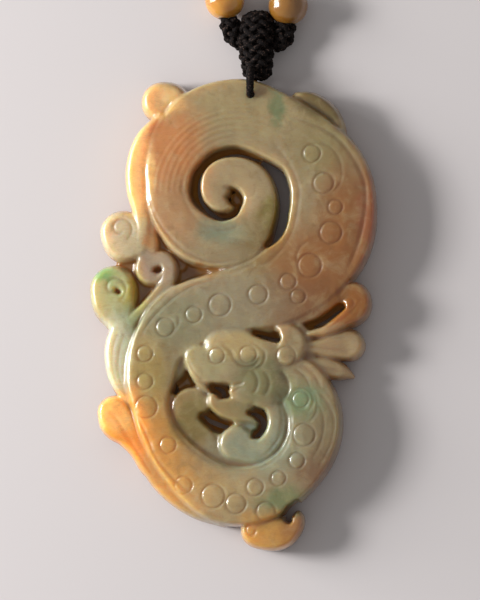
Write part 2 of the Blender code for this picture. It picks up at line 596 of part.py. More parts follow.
def make_tie(material, collection):
    """A thread tied once round the coil's far side."""
    (cx, cy), radius, base, width, height = coil_shape()
    gap = CORD_GAP + TIE_DIAMETER / 2
    half_width = width / 2 + gap
    half_height = height / 2 + gap
    middle_z = base + height / 2
    points = []
    for step in range(TIE_POINTS):
        turn = 2 * math.pi * step / TIE_POINTS
        across = math.copysign(abs(math.cos(turn)) ** 0.5, math.cos(turn))
        up = math.copysign(abs(math.sin(turn)) ** 0.5, math.sin(turn))
        points.append((cx, cy + radius + half_width * across, middle_z + half_height * up))
    curve = bpy.data.curves.new("cord_tie", "CURVE")
    curve.dimensions = "3D"
    curve.bevel_depth = TIE_DIAMETER / 2
    curve.bevel_resolution = 1
    spline = curve.splines.new("POLY")
    spline.points.add(len(points) - 1)
    for point, place in zip(spline.points, points):
        point.co = (*place, 1.0)
    spline.use_cyclic_u = True
    tie = bpy.data.objects.new("cord_tie", curve)
    collection.objects.link(tie)
    return put(tie, "cord_tie", material, collection)


def main():
    """Model the pendant, its cord and its beads."""
    clear_scene()
    pendant = make_collection("jade_pendant")
    cutters = make_collection("cutters")
    jade = make_material("jade", (0.42, 0.33, 0.19), 0.12)
    agate = make_material("ochre_bead", (0.55, 0.30, 0.09), 0.1)
    cord = make_material("black_cord", (0.018, 0.014, 0.014), 0.65)
    make_carving(jade, pendant)
    make_knot(cord, pendant, cutters)
    for name, side in (("bead_left", "left"), ("bead_right", "right")):
        make_bead(name, agate, pendant, cutters)
        tube = make_tube("cord_run_" + side, run_points(name), CORD_DIAMETER, pendant)
        put(tube, "cord_run_" + side, cord, pendant)
    make_coil(cord, pendant)
    make_tie(cord, pendant)


main()
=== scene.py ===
"""The looks of a pierced jade pendant: a coiled dragon in low relief on a knotted black cord.

Lengths are in metres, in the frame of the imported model: +Y runs to the drilled hole, +Z to the
viewer, and the carving's flat back lies at z = 0. The relief is drawn in 65ths of its length.
"""
import math

import bpy
import numpy as np
from bpy.props import FloatProperty, FloatVectorProperty, IntProperty, PointerProperty
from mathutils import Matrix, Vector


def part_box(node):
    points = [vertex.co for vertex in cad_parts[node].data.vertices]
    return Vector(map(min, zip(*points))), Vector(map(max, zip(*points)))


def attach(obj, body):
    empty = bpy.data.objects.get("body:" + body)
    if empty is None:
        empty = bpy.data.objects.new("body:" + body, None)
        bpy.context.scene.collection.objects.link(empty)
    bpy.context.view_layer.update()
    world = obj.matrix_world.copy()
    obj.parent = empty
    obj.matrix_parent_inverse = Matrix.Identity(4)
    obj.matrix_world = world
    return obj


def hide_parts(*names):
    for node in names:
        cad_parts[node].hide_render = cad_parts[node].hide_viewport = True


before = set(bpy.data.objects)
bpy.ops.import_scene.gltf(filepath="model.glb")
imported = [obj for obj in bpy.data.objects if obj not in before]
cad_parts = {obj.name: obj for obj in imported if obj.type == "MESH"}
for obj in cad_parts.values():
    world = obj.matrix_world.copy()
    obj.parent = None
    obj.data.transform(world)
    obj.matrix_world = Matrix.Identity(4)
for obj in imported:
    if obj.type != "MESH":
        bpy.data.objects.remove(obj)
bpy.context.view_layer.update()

bl_info = {
    "name": "Jade Dragon Pendant",
    "version": (1, 0, 0),
    "blender": (4, 5, 0),
    "location": "3D View > Sidebar > Jade Pendant",
    "description": "Adds a carved jade dragon pendant, its knotted cord, beads and stage",
    "category": "Add Mesh",
}

# The carving's length in the units that its relief is drawn in
DRAWING_LENGTH = 65.0
# Half the width and height of the grid that the relief is cut from, in drawing units
GRID_HALF = (21.0, 33.5)
# The drilled hole's place along +X from the carving's middle, in drawing units
HOLE_X = 2.5
# The drilled hole's width as a share of the cord's, which is pressed thin in it
HOLE_FILL = 0.94

# Shares of the thickness: the least height of a ribbon's front, and the foot of a slot's edge
LOWEST_FOOT = 0.30
SLOT_FOOT = 0.10
# In drawing units: how far out a ribbon's foot goes, and how far in its middle goes on bulging
RIBBON_MARGIN = 0.05
BULGE_REACH = 4.0
# In drawing units: how far in from an edge the lines and pearls reach their full depth, how wide
# a hollow the material sees, and how far in from an edge its walls are
DETAIL_REACH = 0.5
HOLLOW_WIDTH = 0.9
EDGE_REACH = 0.3
# How far in the back's edge is rounded, in metres, and half the channel's width in hole radii
BACK_ROUNDING = 0.0007
CHANNEL_WIDTH = 1.25

# Each ribbon of the relief: the height of its surface at its start and end, and of its foot,
# as shares of the thickness, how far in its edge is rounded, the share that its middle bulges,
# and its middle line as points (x, y, half width) in drawing units, from the carving's middle
RIBBONS = {
    "body": (0.77, 0.80, 0.36, 0.5, 0.03, [
        (-0.35, 14.4, 0.5), (-1.3, 14.6, 1.05), (-2.55, 15.6, 1.65), (-3.0, 17.3, 1.75),
        (-1.9, 18.9, 2.2), (0.5, 19.2, 2.4), (2.7, 18.0, 2.5), (3.7, 15.6, 2.5),
        (3.2, 13.0, 2.8), (1.2, 10.1, 3.5), (-2.4, 9.4, 3.55), (-5.8, 10.75, 3.6),
        (-8.3, 13.9, 3.2), (-9.0, 17.6, 3.2), (-8.1, 21.8, 3.75), (-4.7, 26.1, 4.7),
        (0.8, 27.4, 4.95), (5.85, 25.5, 4.8), (10.4, 22.55, 4.9), (13.1, 18.4, 5.7),
        (13.6, 13.8, 6.05), (12.6, 9.7, 6.2), (9.6, 5.8, 5.9), (5.8, 3.2, 5.3),
        (1.7, 1.9, 4.7), (-2.6, 1.0, 4.5), (-7.0, -1.0, 4.7), (-10.2, -4.5, 3.9),
        (-11.4, -8.7, 3.6), (-11.3, -12.9, 2.7), (-9.8, -17.0, 2.8), (-6.6, -21.2, 3.4),
        (-1.7, -24.8, 4.1), (3.8, -24.7, 4.0), (8.3, -21.8, 3.6), (10.7, -17.9, 3.7),
        (11.0, -13.8, 3.8), (9.4, -10.1, 3.5), (7.4, -7.9, 2.2)]),
    "inner_tip": (0.78, 0.76, 0.36, 0.5, 0.0, [
        (-2.0, 16.6, 1.0), (-1.3, 16.5, 0.85), (-0.85, 16.8, 0.55)]),
    "mane_band": (0.80, 0.70, 0.40, 0.8, 0.02, [
        (-9.9, 26.7, 1.1), (-12.0, 23.9, 1.7), (-13.1, 20.6, 1.8), (-13.2, 17.3, 1.7),
        (-12.6, 14.2, 1.5), (-12.3, 11.5, 1.3), (-12.6, 9.3, 1.4)]),
    "top_knob": (0.68, 0.76, 0.36, 1.0, 0.02, [
        (-9.9, 29.2, 2.95), (-8.7, 29.5, 2.4), (-6.8, 28.8, 1.6)]),
    "top_lobe": (0.70, 0.64, 0.36, 0.7, 0.02, [
        (9.0, 29.3, 1.2), (10.6, 28.3, 2.1), (12.4, 26.9, 2.2), (13.9, 25.6, 1.45),
        (14.9, 24.8, 0.6)]),
    "upper_curl": (0.70, 0.69, 0.36, 0.9, 0.02, [
        (-12.6, 8.6, 1.2), (-14.0, 9.0, 1.9), (-15.3, 9.6, 2.6), (-15.4, 11.1, 3.15)]),
    "green_curl": (0.71, 0.69, 0.36, 0.9, 0.02, [
        (-15.3, -1.9, 1.9), (-15.9, -0.2, 2.4), (-16.4, 1.5, 3.2), (-16.6, 3.3, 3.35)]),
    "side_mane": (0.72, 0.66, 0.36, 0.8, 0.02, [
        (-15.0, -2.1, 2.0), (-15.8, -4.8, 2.1), (-15.6, -7.9, 2.0), (-14.9, -10.4, 1.5),
        (-13.9, -12.3, 1.0)]),
    "small_curl": (0.72, 0.68, 0.36, 0.45, 0.01, [
        (-14.6, -2.3, 1.1), (-13.3, -0.4, 0.9), (-11.8, 1.1, 0.9), (-10.2, 2.8, 1.0),
        (-9.0, 4.3, 1.2), (-8.9, 5.7, 1.35), (-9.9, 6.6, 2.0), (-11.3, 6.1, 2.4)]),
    "orange_curl": (0.66, 0.68, 0.36, 0.75, 0.02, [
        (-9.3, -22.6, 1.6), (-11.2, -20.9, 1.8), (-12.9, -18.6, 1.6), (-14.6, -16.4, 2.0),
        (-15.9, -14.9, 2.6), (-16.5, -13.6, 2.35)]),
    "lower_rim": (0.64, 0.64, 0.36, 0.55, 0.02, [
        (-11.5, -20.6, 1.4), (-10.0, -22.6, 1.7), (-7.6, -24.8, 1.8), (-4.8, -26.6, 1.7),
        (-1.5, -27.5, 1.8)]),
    "tail_knob": (0.66, 0.64, 0.36, 0.6, 0.02, [
        (3.8, -27.2, 1.6), (2.8, -29.8, 1.9), (4.4, -30.3, 2.2), (6.2, -30.2, 2.2),
        (7.7, -29.4, 1.65), (8.7, -28.4, 0.95), (8.75, -27.6, 0.55)]),
    "hooked_petal": (0.80, 0.72, 0.36, 0.6, 0.02, [
        (10.4, -3.1, 0.7), (12.8, -2.6, 0.95), (15.0, -1.2, 1.35), (16.7, 0.3, 1.9),
        (16.8, 1.7, 2.05), (16.2, 2.4, 1.75), (14.9, 2.0, 1.3), (14.2, 1.5, 0.65)]),
    "round_petal": (0.78, 0.66, 0.36, 0.7, 0.02, [
        (10.4, -4.9, 1.1), (12.6, -4.9, 1.55), (14.5, -4.7, 1.95), (15.8, -4.5, 2.2)]),
    "pointed_petal": (0.72, 0.56, 0.36, 0.6, 0.0, [
        (10.4, -6.9, 1.0), (12.5, -7.5, 1.4), (14.2, -8.0, 1.3), (15.4, -8.4, 0.75),
        (16.2, -8.8, 0.3)]),
    "face": (0.84, 0.85, 0.55, 0.6, 0.03, [
        (-4.7, -6.4, 2.1), (-3.6, -7.4, 2.55), (-1.2, -7.6, 2.5), (1.2, -7.8, 2.6)]),
    "lip": (0.82, 0.74, 0.50, 0.4, 0.0, [
        (-5.3, -8.2, 0.9), (-4.6, -9.4, 0.85), (-3.9, -10.3, 0.65), (-3.3, -10.95, 0.4)]),
    "skull": (0.91, 0.89, 0.78, 2.3, 0.0, [
        (-1.6, -4.9, 2.3), (0.8, -5.0, 2.6), (3.2, -5.6, 2.4), (5.4, -6.0, 2.0)]),
    "nostril": (0.83, 0.84, 0.70, 0.8, 0.0, [
        (-5.6, -5.3, 0.75), (-5.0, -5.3, 0.85)]),
    "cheek": (0.87, 0.87, 0.76, 2.8, 0.02, [
        (3.4, -9.9, 3.2), (4.3, -10.1, 3.3)]),
    "mouth_corner": (0.83, 0.85, 0.60, 0.6, 0.0, [
        (0.7, -10.9, 1.4), (2.2, -11.2, 1.8)]),
    "lower_jaw": (0.82, 0.78, 0.56, 0.5, 0.01, [
        (-2.75, -11.7, 0.75), (-2.2, -12.6, 1.2), (-0.9, -13.2, 1.55), (0.9, -13.4, 1.8),
        (1.9, -14.3, 0.95), (2.8, -14.9, 0.45), (3.4, -15.2, 0.15)]),
    "beard_leaf": (0.72, 0.66, 0.50, 0.55, 0.02, [
        (-4.3, -12.6, 1.4), (-5.2, -12.1, 1.85), (-6.2, -12.7, 2.3), (-6.4, -14.4, 1.85),
        (-5.6, -16.0, 1.85), (-3.9, -17.6, 1.8), (-2.7, -19.2, 1.25), (-0.9, -20.5, 0.85)]),
    "throat_curl": (0.80, 0.77, 0.56, 0.65, 0.02, [
        (5.2, -12.6, 1.3), (5.9, -13.8, 1.5), (6.1, -15.3, 1.55), (5.4, -17.5, 1.65),
        (3.3, -19.1, 1.8), (0.5, -18.0, 2.55)]),
    "ear": (0.90, 0.84, 0.66, 0.7, 0.0, [
        (7.5, -6.0, 1.7), (8.0, -5.2, 2.05), (8.2, -4.3, 2.05), (7.9, -3.4, 1.7),
        (7.2, -2.75, 1.1), (6.3, -2.3, 0.5)]),
    "under_body": (0.74, 0.76, 0.36, 0.45, 0.01, [
        (2.0, -1.7, 1.0), (5.2, -1.5, 1.15), (7.8, -1.0, 1.15), (10.0, -0.7, 1.1),
        (12.0, 0.3, 1.1), (13.8, 1.6, 1.1)]),
    "petal_root": (0.76, 0.70, 0.50, 0.4, 0.0, [
        (9.2, -2.4, 0.9), (10.0, -2.9, 0.8), (10.1, -3.8, 0.9), (10.2, -5.2, 1.1),
        (10.2, -6.6, 1.2)]),
    "chin_web": (0.66, 0.64, 0.45, 0.4, 0.0, [
        (2.9, -15.7, 0.6), (1.9, -15.8, 0.9), (0.4, -15.7, 0.7), (-1.6, -17.3, 0.8),
        (-2.6, -17.1, 0.9)]),
    "ring_web": (0.38, 0.42, 0.30, 0.4, 0.0, [
        (-7.6, 5.6, 1.6), (-5.5, 5.6, 1.15), (-2.5, 5.4, 0.7), (1.5, 6.2, 0.9), (4.1, 8.2, 0.6)]),
    "curl_web": (0.46, 0.44, 0.36, 0.4, 0.0, [
        (-11.3, 12.3, 0.6), (-11.1, 10.2, 1.4), (-12.6, 8.0, 1.4), (-15.1, 6.8, 1.2),
        (-13.4, 4.2, 1.1), (-11.9, 3.1, 1.35), (-13.6, 0.4, 1.0)]),
    "ring_side_web": (0.55, 0.46, 0.36, 0.4, 0.0, [
        (-10.6, 9.6, 0.9), (-8.8, 7.9, 0.9), (-7.3, 6.6, 0.9)]),
    "side_web": (0.62, 0.60, 0.40, 0.4, 0.0, [
        (-13.3, -12.6, 1.7), (-11.7, -15.1, 1.9), (-8.6, -18.7, 1.9)]),
    "inner_web": (0.67, 0.66, 0.50, 0.4, 0.0, [
        (-8.4, -12.0, 1.0), (-8.3, -14.6, 1.0), (-6.6, -17.8, 1.0), (-3.8, -20.0, 1.0),
        (0.4, -21.2, 1.0), (4.4, -20.9, 1.0), (7.2, -17.9, 1.0), (7.6, -14.4, 1.0)]),
    "snout_web": (0.79, 0.64, 0.50, 0.9, 0.0, [
        (-5.9, -3.4, 1.2), (-6.9, -5.0, 1.5), (-7.1, -6.5, 1.4), (-7.4, -7.8, 1.0),
        (-7.9, -8.9, 0.6)]),
    "snout_floor": (0.30, 0.30, 0.30, 0.3, 0.0, [
        (-6.5, -7.8, 1.0), (-6.6, -9.2, 1.3), (-6.4, -10.6, 1.1)]),
    "brow_web": (0.70, 0.66, 0.50, 0.5, 0.0, [
        (-1.0, -2.6, 0.5), (1.0, -2.3, 0.6), (2.6, -2.2, 0.7), (4.4, -2.4, 0.6), (6.2, -2.5, 0.5)]),
    "band_web": (0.70, 0.68, 0.50, 0.6, 0.0, [
        (-12.0, 13.2, 1.0), (-11.6, 11.0, 1.2), (-11.6, 9.0, 1.4), (-12.4, 7.6, 1.0)]),
}

# Low sheets of jade put across the openings as painted shade, at this share of the thickness: the
# openings go right through, and the sheets make them show as dark brown floors
SHADE_WEB_HEIGHT = 0.22
SHADE_WEBS = {
    "ring": [
        (2.8, 21.4, 1.0), (0.2, 22.0, 1.0), (-2.6, 21.2, 1.0), (-4.6, 19.2, 1.0),
        (-5.0, 17.0, 1.0), (-4.2, 14.8, 1.1), (-2.0, 13.1, 1.1), (0.0, 13.4, 1.0),
        (0.8, 14.8, 0.9), (0.4, 15.8, 0.9)],
    "mouth": [(-3.6, -10.0, 0.8), (-2.3, -10.5, 1.0), (-1.4, -11.2, 1.0)],
    "beard": [(-4.8, -13.8, 1.0), (-3.2, -15.0, 1.2), (-1.4, -15.6, 1.2), (-0.4, -15.8, 1.0)],
    "throat": [
        (1.8, -13.8, 0.9), (3.2, -14.2, 1.0), (4.0, -15.3, 1.0), (3.6, -16.4, 1.0),
        (2.6, -17.2, 0.8)],
    "brow": [(2.0, -2.6, 0.8), (4.2, -3.2, 1.0), (6.0, -3.5, 1.0)],
    "petal": [(10.2, -2.2, 0.8), (12.2, -1.3, 0.9), (14.4, 0.0, 0.9), (15.2, 0.8, 0.6)],
}

# Slots and pits carved into the ribbons: the height of the floor as a share of the thickness,
# or 0 where it goes right through, how far out its upper edge is sloped, and its middle line
SLOTS = {
    "ring": (0.0, 0.20, [
        (3.4, 21.1, 0.16), (0.3, 22.0, 0.18), (-2.6, 21.2, 0.20), (-4.6, 19.2, 0.20),
        (-5.0, 17.0, 0.22), (-4.2, 14.8, 0.24), (-2.0, 13.1, 0.26), (0.0, 13.4, 0.26),
        (0.7, 14.5, 0.22), (0.7, 14.9, 0.14)]),
    "over_brow": (0.0, 0.36, [
        (3.0, -2.95, 0.10), (3.8, -3.18, 0.20), (4.7, -3.45, 0.26), (5.6, -3.65, 0.30),
        (6.1, -3.70, 0.28)]),
    "mouth": (0.0, 0.36, [
        (-2.7, -10.15, 0.14), (-2.2, -10.4, 0.24), (-1.7, -10.7, 0.32), (-1.5, -11.2, 0.26),
        (-1.6, -11.6, 0.12)]),
    "beard": (0.0, 0.36, [
        (-4.1, -14.2, 0.18), (-3.4, -14.75, 0.28), (-2.4, -15.2, 0.34), (-1.5, -15.5, 0.28),
        (-1.0, -15.5, 0.14)]),
    "throat": (0.0, 0.36, [
        (2.3, -13.8, 0.14), (3.0, -13.95, 0.26), (3.7, -14.5, 0.32), (3.95, -15.3, 0.32),
        (3.7, -16.1, 0.30), (3.2, -16.7, 0.26), (2.8, -17.0, 0.14)]),
    "petal": (0.0, 0.36, [
        (11.0, -1.85, 0.14), (11.8, -1.5, 0.20), (12.9, -0.95, 0.24), (14.2, 0.0, 0.26),
        (15.0, 0.55, 0.16)]),
    "ring_end": (0.0, 0.4, [
        (6.9, 12.8, 0.5), (6.5, 11.3, 0.45), (5.7, 10.0, 0.32), (4.7, 9.1, 0.1)]),
    "tail": (0.0, 0.4, [
        (8.8, -26.3, 0.4), (7.7, -27.2, 0.42), (7.4, -28.0, 0.4), (7.6, -28.5, 0.2)]),
    "small_pit": (0.46, 0.50, [(-10.7, 5.85, 0.22), (-10.3, 5.95, 0.30)]),
    "green_pit": (0.54, 0.55, [(-16.1, 3.1, 0.20), (-15.7, 2.85, 0.22)]),
}

# Ringed pearls on the body and round the eyes: x, y and radius in drawing units, the depth and
# half width of their rings, and how far they swell
PEARL_CUT = (0.13, 0.15)
PEARL_SWELL = 0.05
PEARLS = (
    (10.9, 21.6, 1.2), (12.5, 17.5, 1.4), (14.1, 14.2, 1.0), (13.5, 10.7, 1.5), (10.6, 6.2, 1.6),
    (7.6, 4.0, 1.1), (9.0, 2.0, 1.0), (3.5, 2.3, 1.3), (-1.7, 0.9, 1.5), (-5.3, -0.4, 1.1),
    (-9.2, -2.1, 1.25), (-12.0, -5.7, 1.1), (-12.0, -9.5, 1.1), (-11.8, -13.0, 1.5),
    (-8.8, -18.2, 1.1), (-6.7, -23.7, 1.2), (-2.6, -25.2, 1.6), (0.5, -26.2, 1.35),
    (3.1, -24.0, 1.15), (4.6, -27.3, 1.3), (6.3, -22.8, 1.0), (8.8, -20.4, 1.05),
    (9.8, -16.9, 1.5), (9.3, -12.1, 1.1), (-2.1, -6.1, 1.05), (2.2, -5.95, 1.15), (7.4, -6.2, 1.3))

# Engraved lines: depth, half width and the points that each runs through, in drawing units, and
# the share of its length in which a line fades out at either end
LINE_FADE = 0.18
LINES = {
    "ring_rim": (0.14, 0.30, [
        (8.0, 26.7), (11.0, 25.6), (14.2, 23.8), (16.8, 20.5), (18.2, 17.0), (18.0, 12.6),
        (16.8, 8.0), (15.4, 5.0)]),
    "ring_inner": (0.08, 0.30, [
        (5.7, 23.1), (7.7, 20.3), (8.9, 17.7), (9.1, 15.5), (8.2, 10.9), (5.7, 7.3), (2.1, 5.4)]),
    "ring_left_inner": (0.07, 0.30, [
        (-7.0, 19.4), (-6.8, 16.6), (-5.9, 14.0), (-3.9, 11.9), (-1.2, 11.2), (1.6, 11.8)]),
    "ring_lip": (0.14, 0.28, [
        (-12.2, 20.1), (-11.8, 17.0), (-10.6, 13.0), (-8.2, 9.8), (-5.9, 7.9), (-2.8, 6.8),
        (0.8, 7.1)]),
    "ring_under": (0.19, 0.35, [(-7.1, 4.4), (-4.1, 5.3), (-0.3, 5.5), (3.2, 6.6)]),
    "lobe_join": (0.26, 0.32, [(7.7, 30.1), (9.9, 29.0), (12.9, 26.8), (15.4, 24.1)]),
    "band_join": (0.08, 0.35, [
        (-6.6, 30.6), (-9.2, 28.1), (-11.1, 24.5), (-12.1, 20.7), (-12.1, 16.5), (-11.5, 12.9),
        (-11.1, 10.4)]),
    "pearl_loop": (0.09, 0.22, [
        (10.7, 23.0), (12.9, 22.8), (14.6, 21.0), (15.0, 18.4), (14.3, 16.7), (12.8, 15.9)]),
    "body_lower_inner": (0.14, 0.30, [
        (-9.2, -11.5), (-8.6, -14.5), (-6.7, -17.6), (-4.2, -19.8), (-0.9, -21.3), (2.4, -21.6),
        (5.2, -20.6), (7.3, -18.4), (8.0, -15.6), (7.4, -12.9), (6.0, -10.6)]),
    "mane_join": (0.18, 0.32, [
        (-13.9, -4.1), (-14.5, -7.6), (-14.3, -11.1), (-13.2, -14.1), (-11.8, -16.9),
        (-10.6, -19.8), (-8.1, -22.8), (-4.8, -25.6)]),
    "mane_hair_1": (0.08, 0.20, [(-15.7, -2.6), (-16.5, -5.1), (-16.5, -7.9), (-15.7, -10.4)]),
    "mane_hair_2": (0.08, 0.20, [(-14.9, -2.9), (-15.6, -5.4), (-15.7, -8.2), (-15.0, -10.8)]),
    "right_line_1": (0.08, 0.20, [
        (10.2, -10.6), (11.8, -12.9), (12.5, -15.2), (12.1, -17.8), (10.9, -20.3)]),
    "right_line_2": (0.08, 0.20, [
        (11.3, -10.4), (13.2, -12.9), (13.9, -15.4), (13.3, -18.4), (11.8, -21.2)]),
    "right_line_3": (0.08, 0.20, [
        (12.5, -10.6), (14.3, -13.1), (14.7, -15.6), (14.2, -18.7), (12.7, -21.4)]),
    "neck_1": (0.13, 0.24, [(8.5, -7.9), (9.9, -9.0), (10.7, -10.6)]),
    "neck_2": (0.11, 0.22, [(9.5, -7.3), (11.1, -8.7), (12.2, -10.6)]),
    "brow": (0.17, 0.26, [
        (-1.3, -4.7), (-0.3, -5.4), (0.2, -6.4), (0.9, -7.2), (1.9, -7.6), (3.1, -7.3),
        (3.8, -6.4)]),
    "brow_outer": (0.13, 0.24, [(2.6, -4.4), (3.8, -5.0), (4.5, -5.9), (4.2, -7.2), (3.2, -8.0)]),
    "cheek_1": (0.13, 0.26, [(2.7, -8.0), (3.4, -9.1), (3.4, -10.4), (2.8, -11.3)]),
    "cheek_2": (0.13, 0.26, [(4.4, -8.2), (5.0, -9.3), (5.0, -10.5), (4.4, -11.6)]),
    "cheek_3": (0.17, 0.28, [(6.7, -8.2), (7.5, -9.4), (7.7, -10.8), (7.1, -12.0)]),
    "mouth_1": (0.09, 0.20, [(-0.3, -10.5), (0.6, -10.0), (1.7, -9.8)]),
    "mouth_2": (0.08, 0.20, [(-0.1, -11.2), (0.9, -10.6), (1.9, -10.6)]),
    "lip": (0.12, 0.24, [(-6.2, -6.2), (-5.7, -7.6), (-4.9, -8.7), (-3.8, -9.5)]),
    "orange_ridge": (0.11, 0.30, [
        (-16.9, -13.7), (-15.8, -14.8), (-14.3, -17.3), (-12.5, -20.1), (-10.9, -22.5)]),
    "petal1_hair": (0.07, 0.20, [(11.5, -2.8), (14.0, -1.8), (16.2, -0.3), (17.6, 1.7)]),
    "petal2_hair_1": (0.07, 0.20, [(10.2, -3.9), (12.7, -3.9), (15.4, -3.5)]),
    "petal2_hair_2": (0.07, 0.20, [(10.2, -4.8), (12.7, -5.1), (15.4, -5.3)]),
    "petal3_hair": (0.07, 0.20, [(10.7, -6.6), (12.7, -7.7), (14.9, -8.3)]),
    "comma_1": (0.09, 0.20, [(9.1, 5.9), (8.8, 7.3), (9.3, 8.7), (10.4, 9.5)]),
    "comma_2": (0.08, 0.20, [(-8.1, -2.9), (-7.3, -1.5), (-7.5, -0.4)]),
    "green_loop": (0.09, 0.22, [
        (8.8, -10.1), (10.4, -10.4), (11.5, -12.0), (11.4, -14.0), (10.3, -15.4)]),
    "throat_hair": (0.09, 0.22, [
        (6.0, -11.8), (6.7, -13.8), (6.6, -16.2), (5.7, -18.3), (4.1, -19.9)]),
    "band_top_1": (0.09, 0.24, [
        (-3.0, 4.9), (-5.3, 4.6), (-7.5, 3.6), (-9.3, 2.2), (-11.2, 0.3), (-12.8, -1.8)]),
    "band_top_2": (0.08, 0.22, [
        (-2.5, 4.2), (-5.2, 3.6), (-7.4, 2.4), (-9.6, 0.6), (-11.4, -1.4), (-12.6, -3.4)]),
    "small_curl_edge": (0.09, 0.20, [
        (-9.8, 5.6), (-9.9, 4.6), (-10.6, 3.7), (-11.6, 3.4), (-12.7, 3.9), (-13.4, 5.0),
        (-13.6, 6.4)]),
    "left_ridge": (0.09, 0.24, [
        (-14.5, -11.0), (-13.0, -14.0), (-12.3, -16.5), (-11.7, -18.5), (-10.5, -20.2)]),
    "throat_line_1": (0.11, 0.20, [(6.6, -13.4), (6.9, -15.5), (6.3, -17.4), (5.0, -19.0)]),
    "throat_line_2": (0.09, 0.20, [(7.3, -12.2), (7.7, -14.8), (7.2, -17.2), (5.8, -19.4)]),
}

# Carved spirals: centre, outer and inner radius, the angles in degrees where the line starts
# and ends, its depth and its half width
SPIRALS = (
    (-15.5, 11.6, 1.8, 0.4, -60.0, 330.0, 0.15, 0.24),
    (-16.4, 3.4, 1.9, 0.4, -70.0, 320.0, 0.14, 0.26),
    (15.9, 0.9, 1.2, 0.3, 200.0, -120.0, 0.10, 0.24),
    (-10.8, 5.8, 1.0, 0.5, 60.0, -90.0, 0.14, 0.24),
    (2.6, -29.9, 1.0, 0.3, 90.0, 400.0, 0.16, 0.20),
    (9.3, -12.1, 1.9, 1.3, -60.0, 200.0, 0.12, 0.20))

# Turning marks round the ring's upper left: the ring's middle, their height and spacing, the
# angles in degrees and radii between which they show, and how wide they fade in and out there
RING_MIDDLE = (0.8, 16.3)
MARK_HEIGHT = 0.024
MARK_SPACING = 0.80
MARK_ANGLES = (45.0, 200.0)
MARK_ANGLE_FADES = (40.0, 30.0)
MARK_RADII = (6.0, 12.5)
MARK_RADIUS_FADES = (1.5, 1.0)


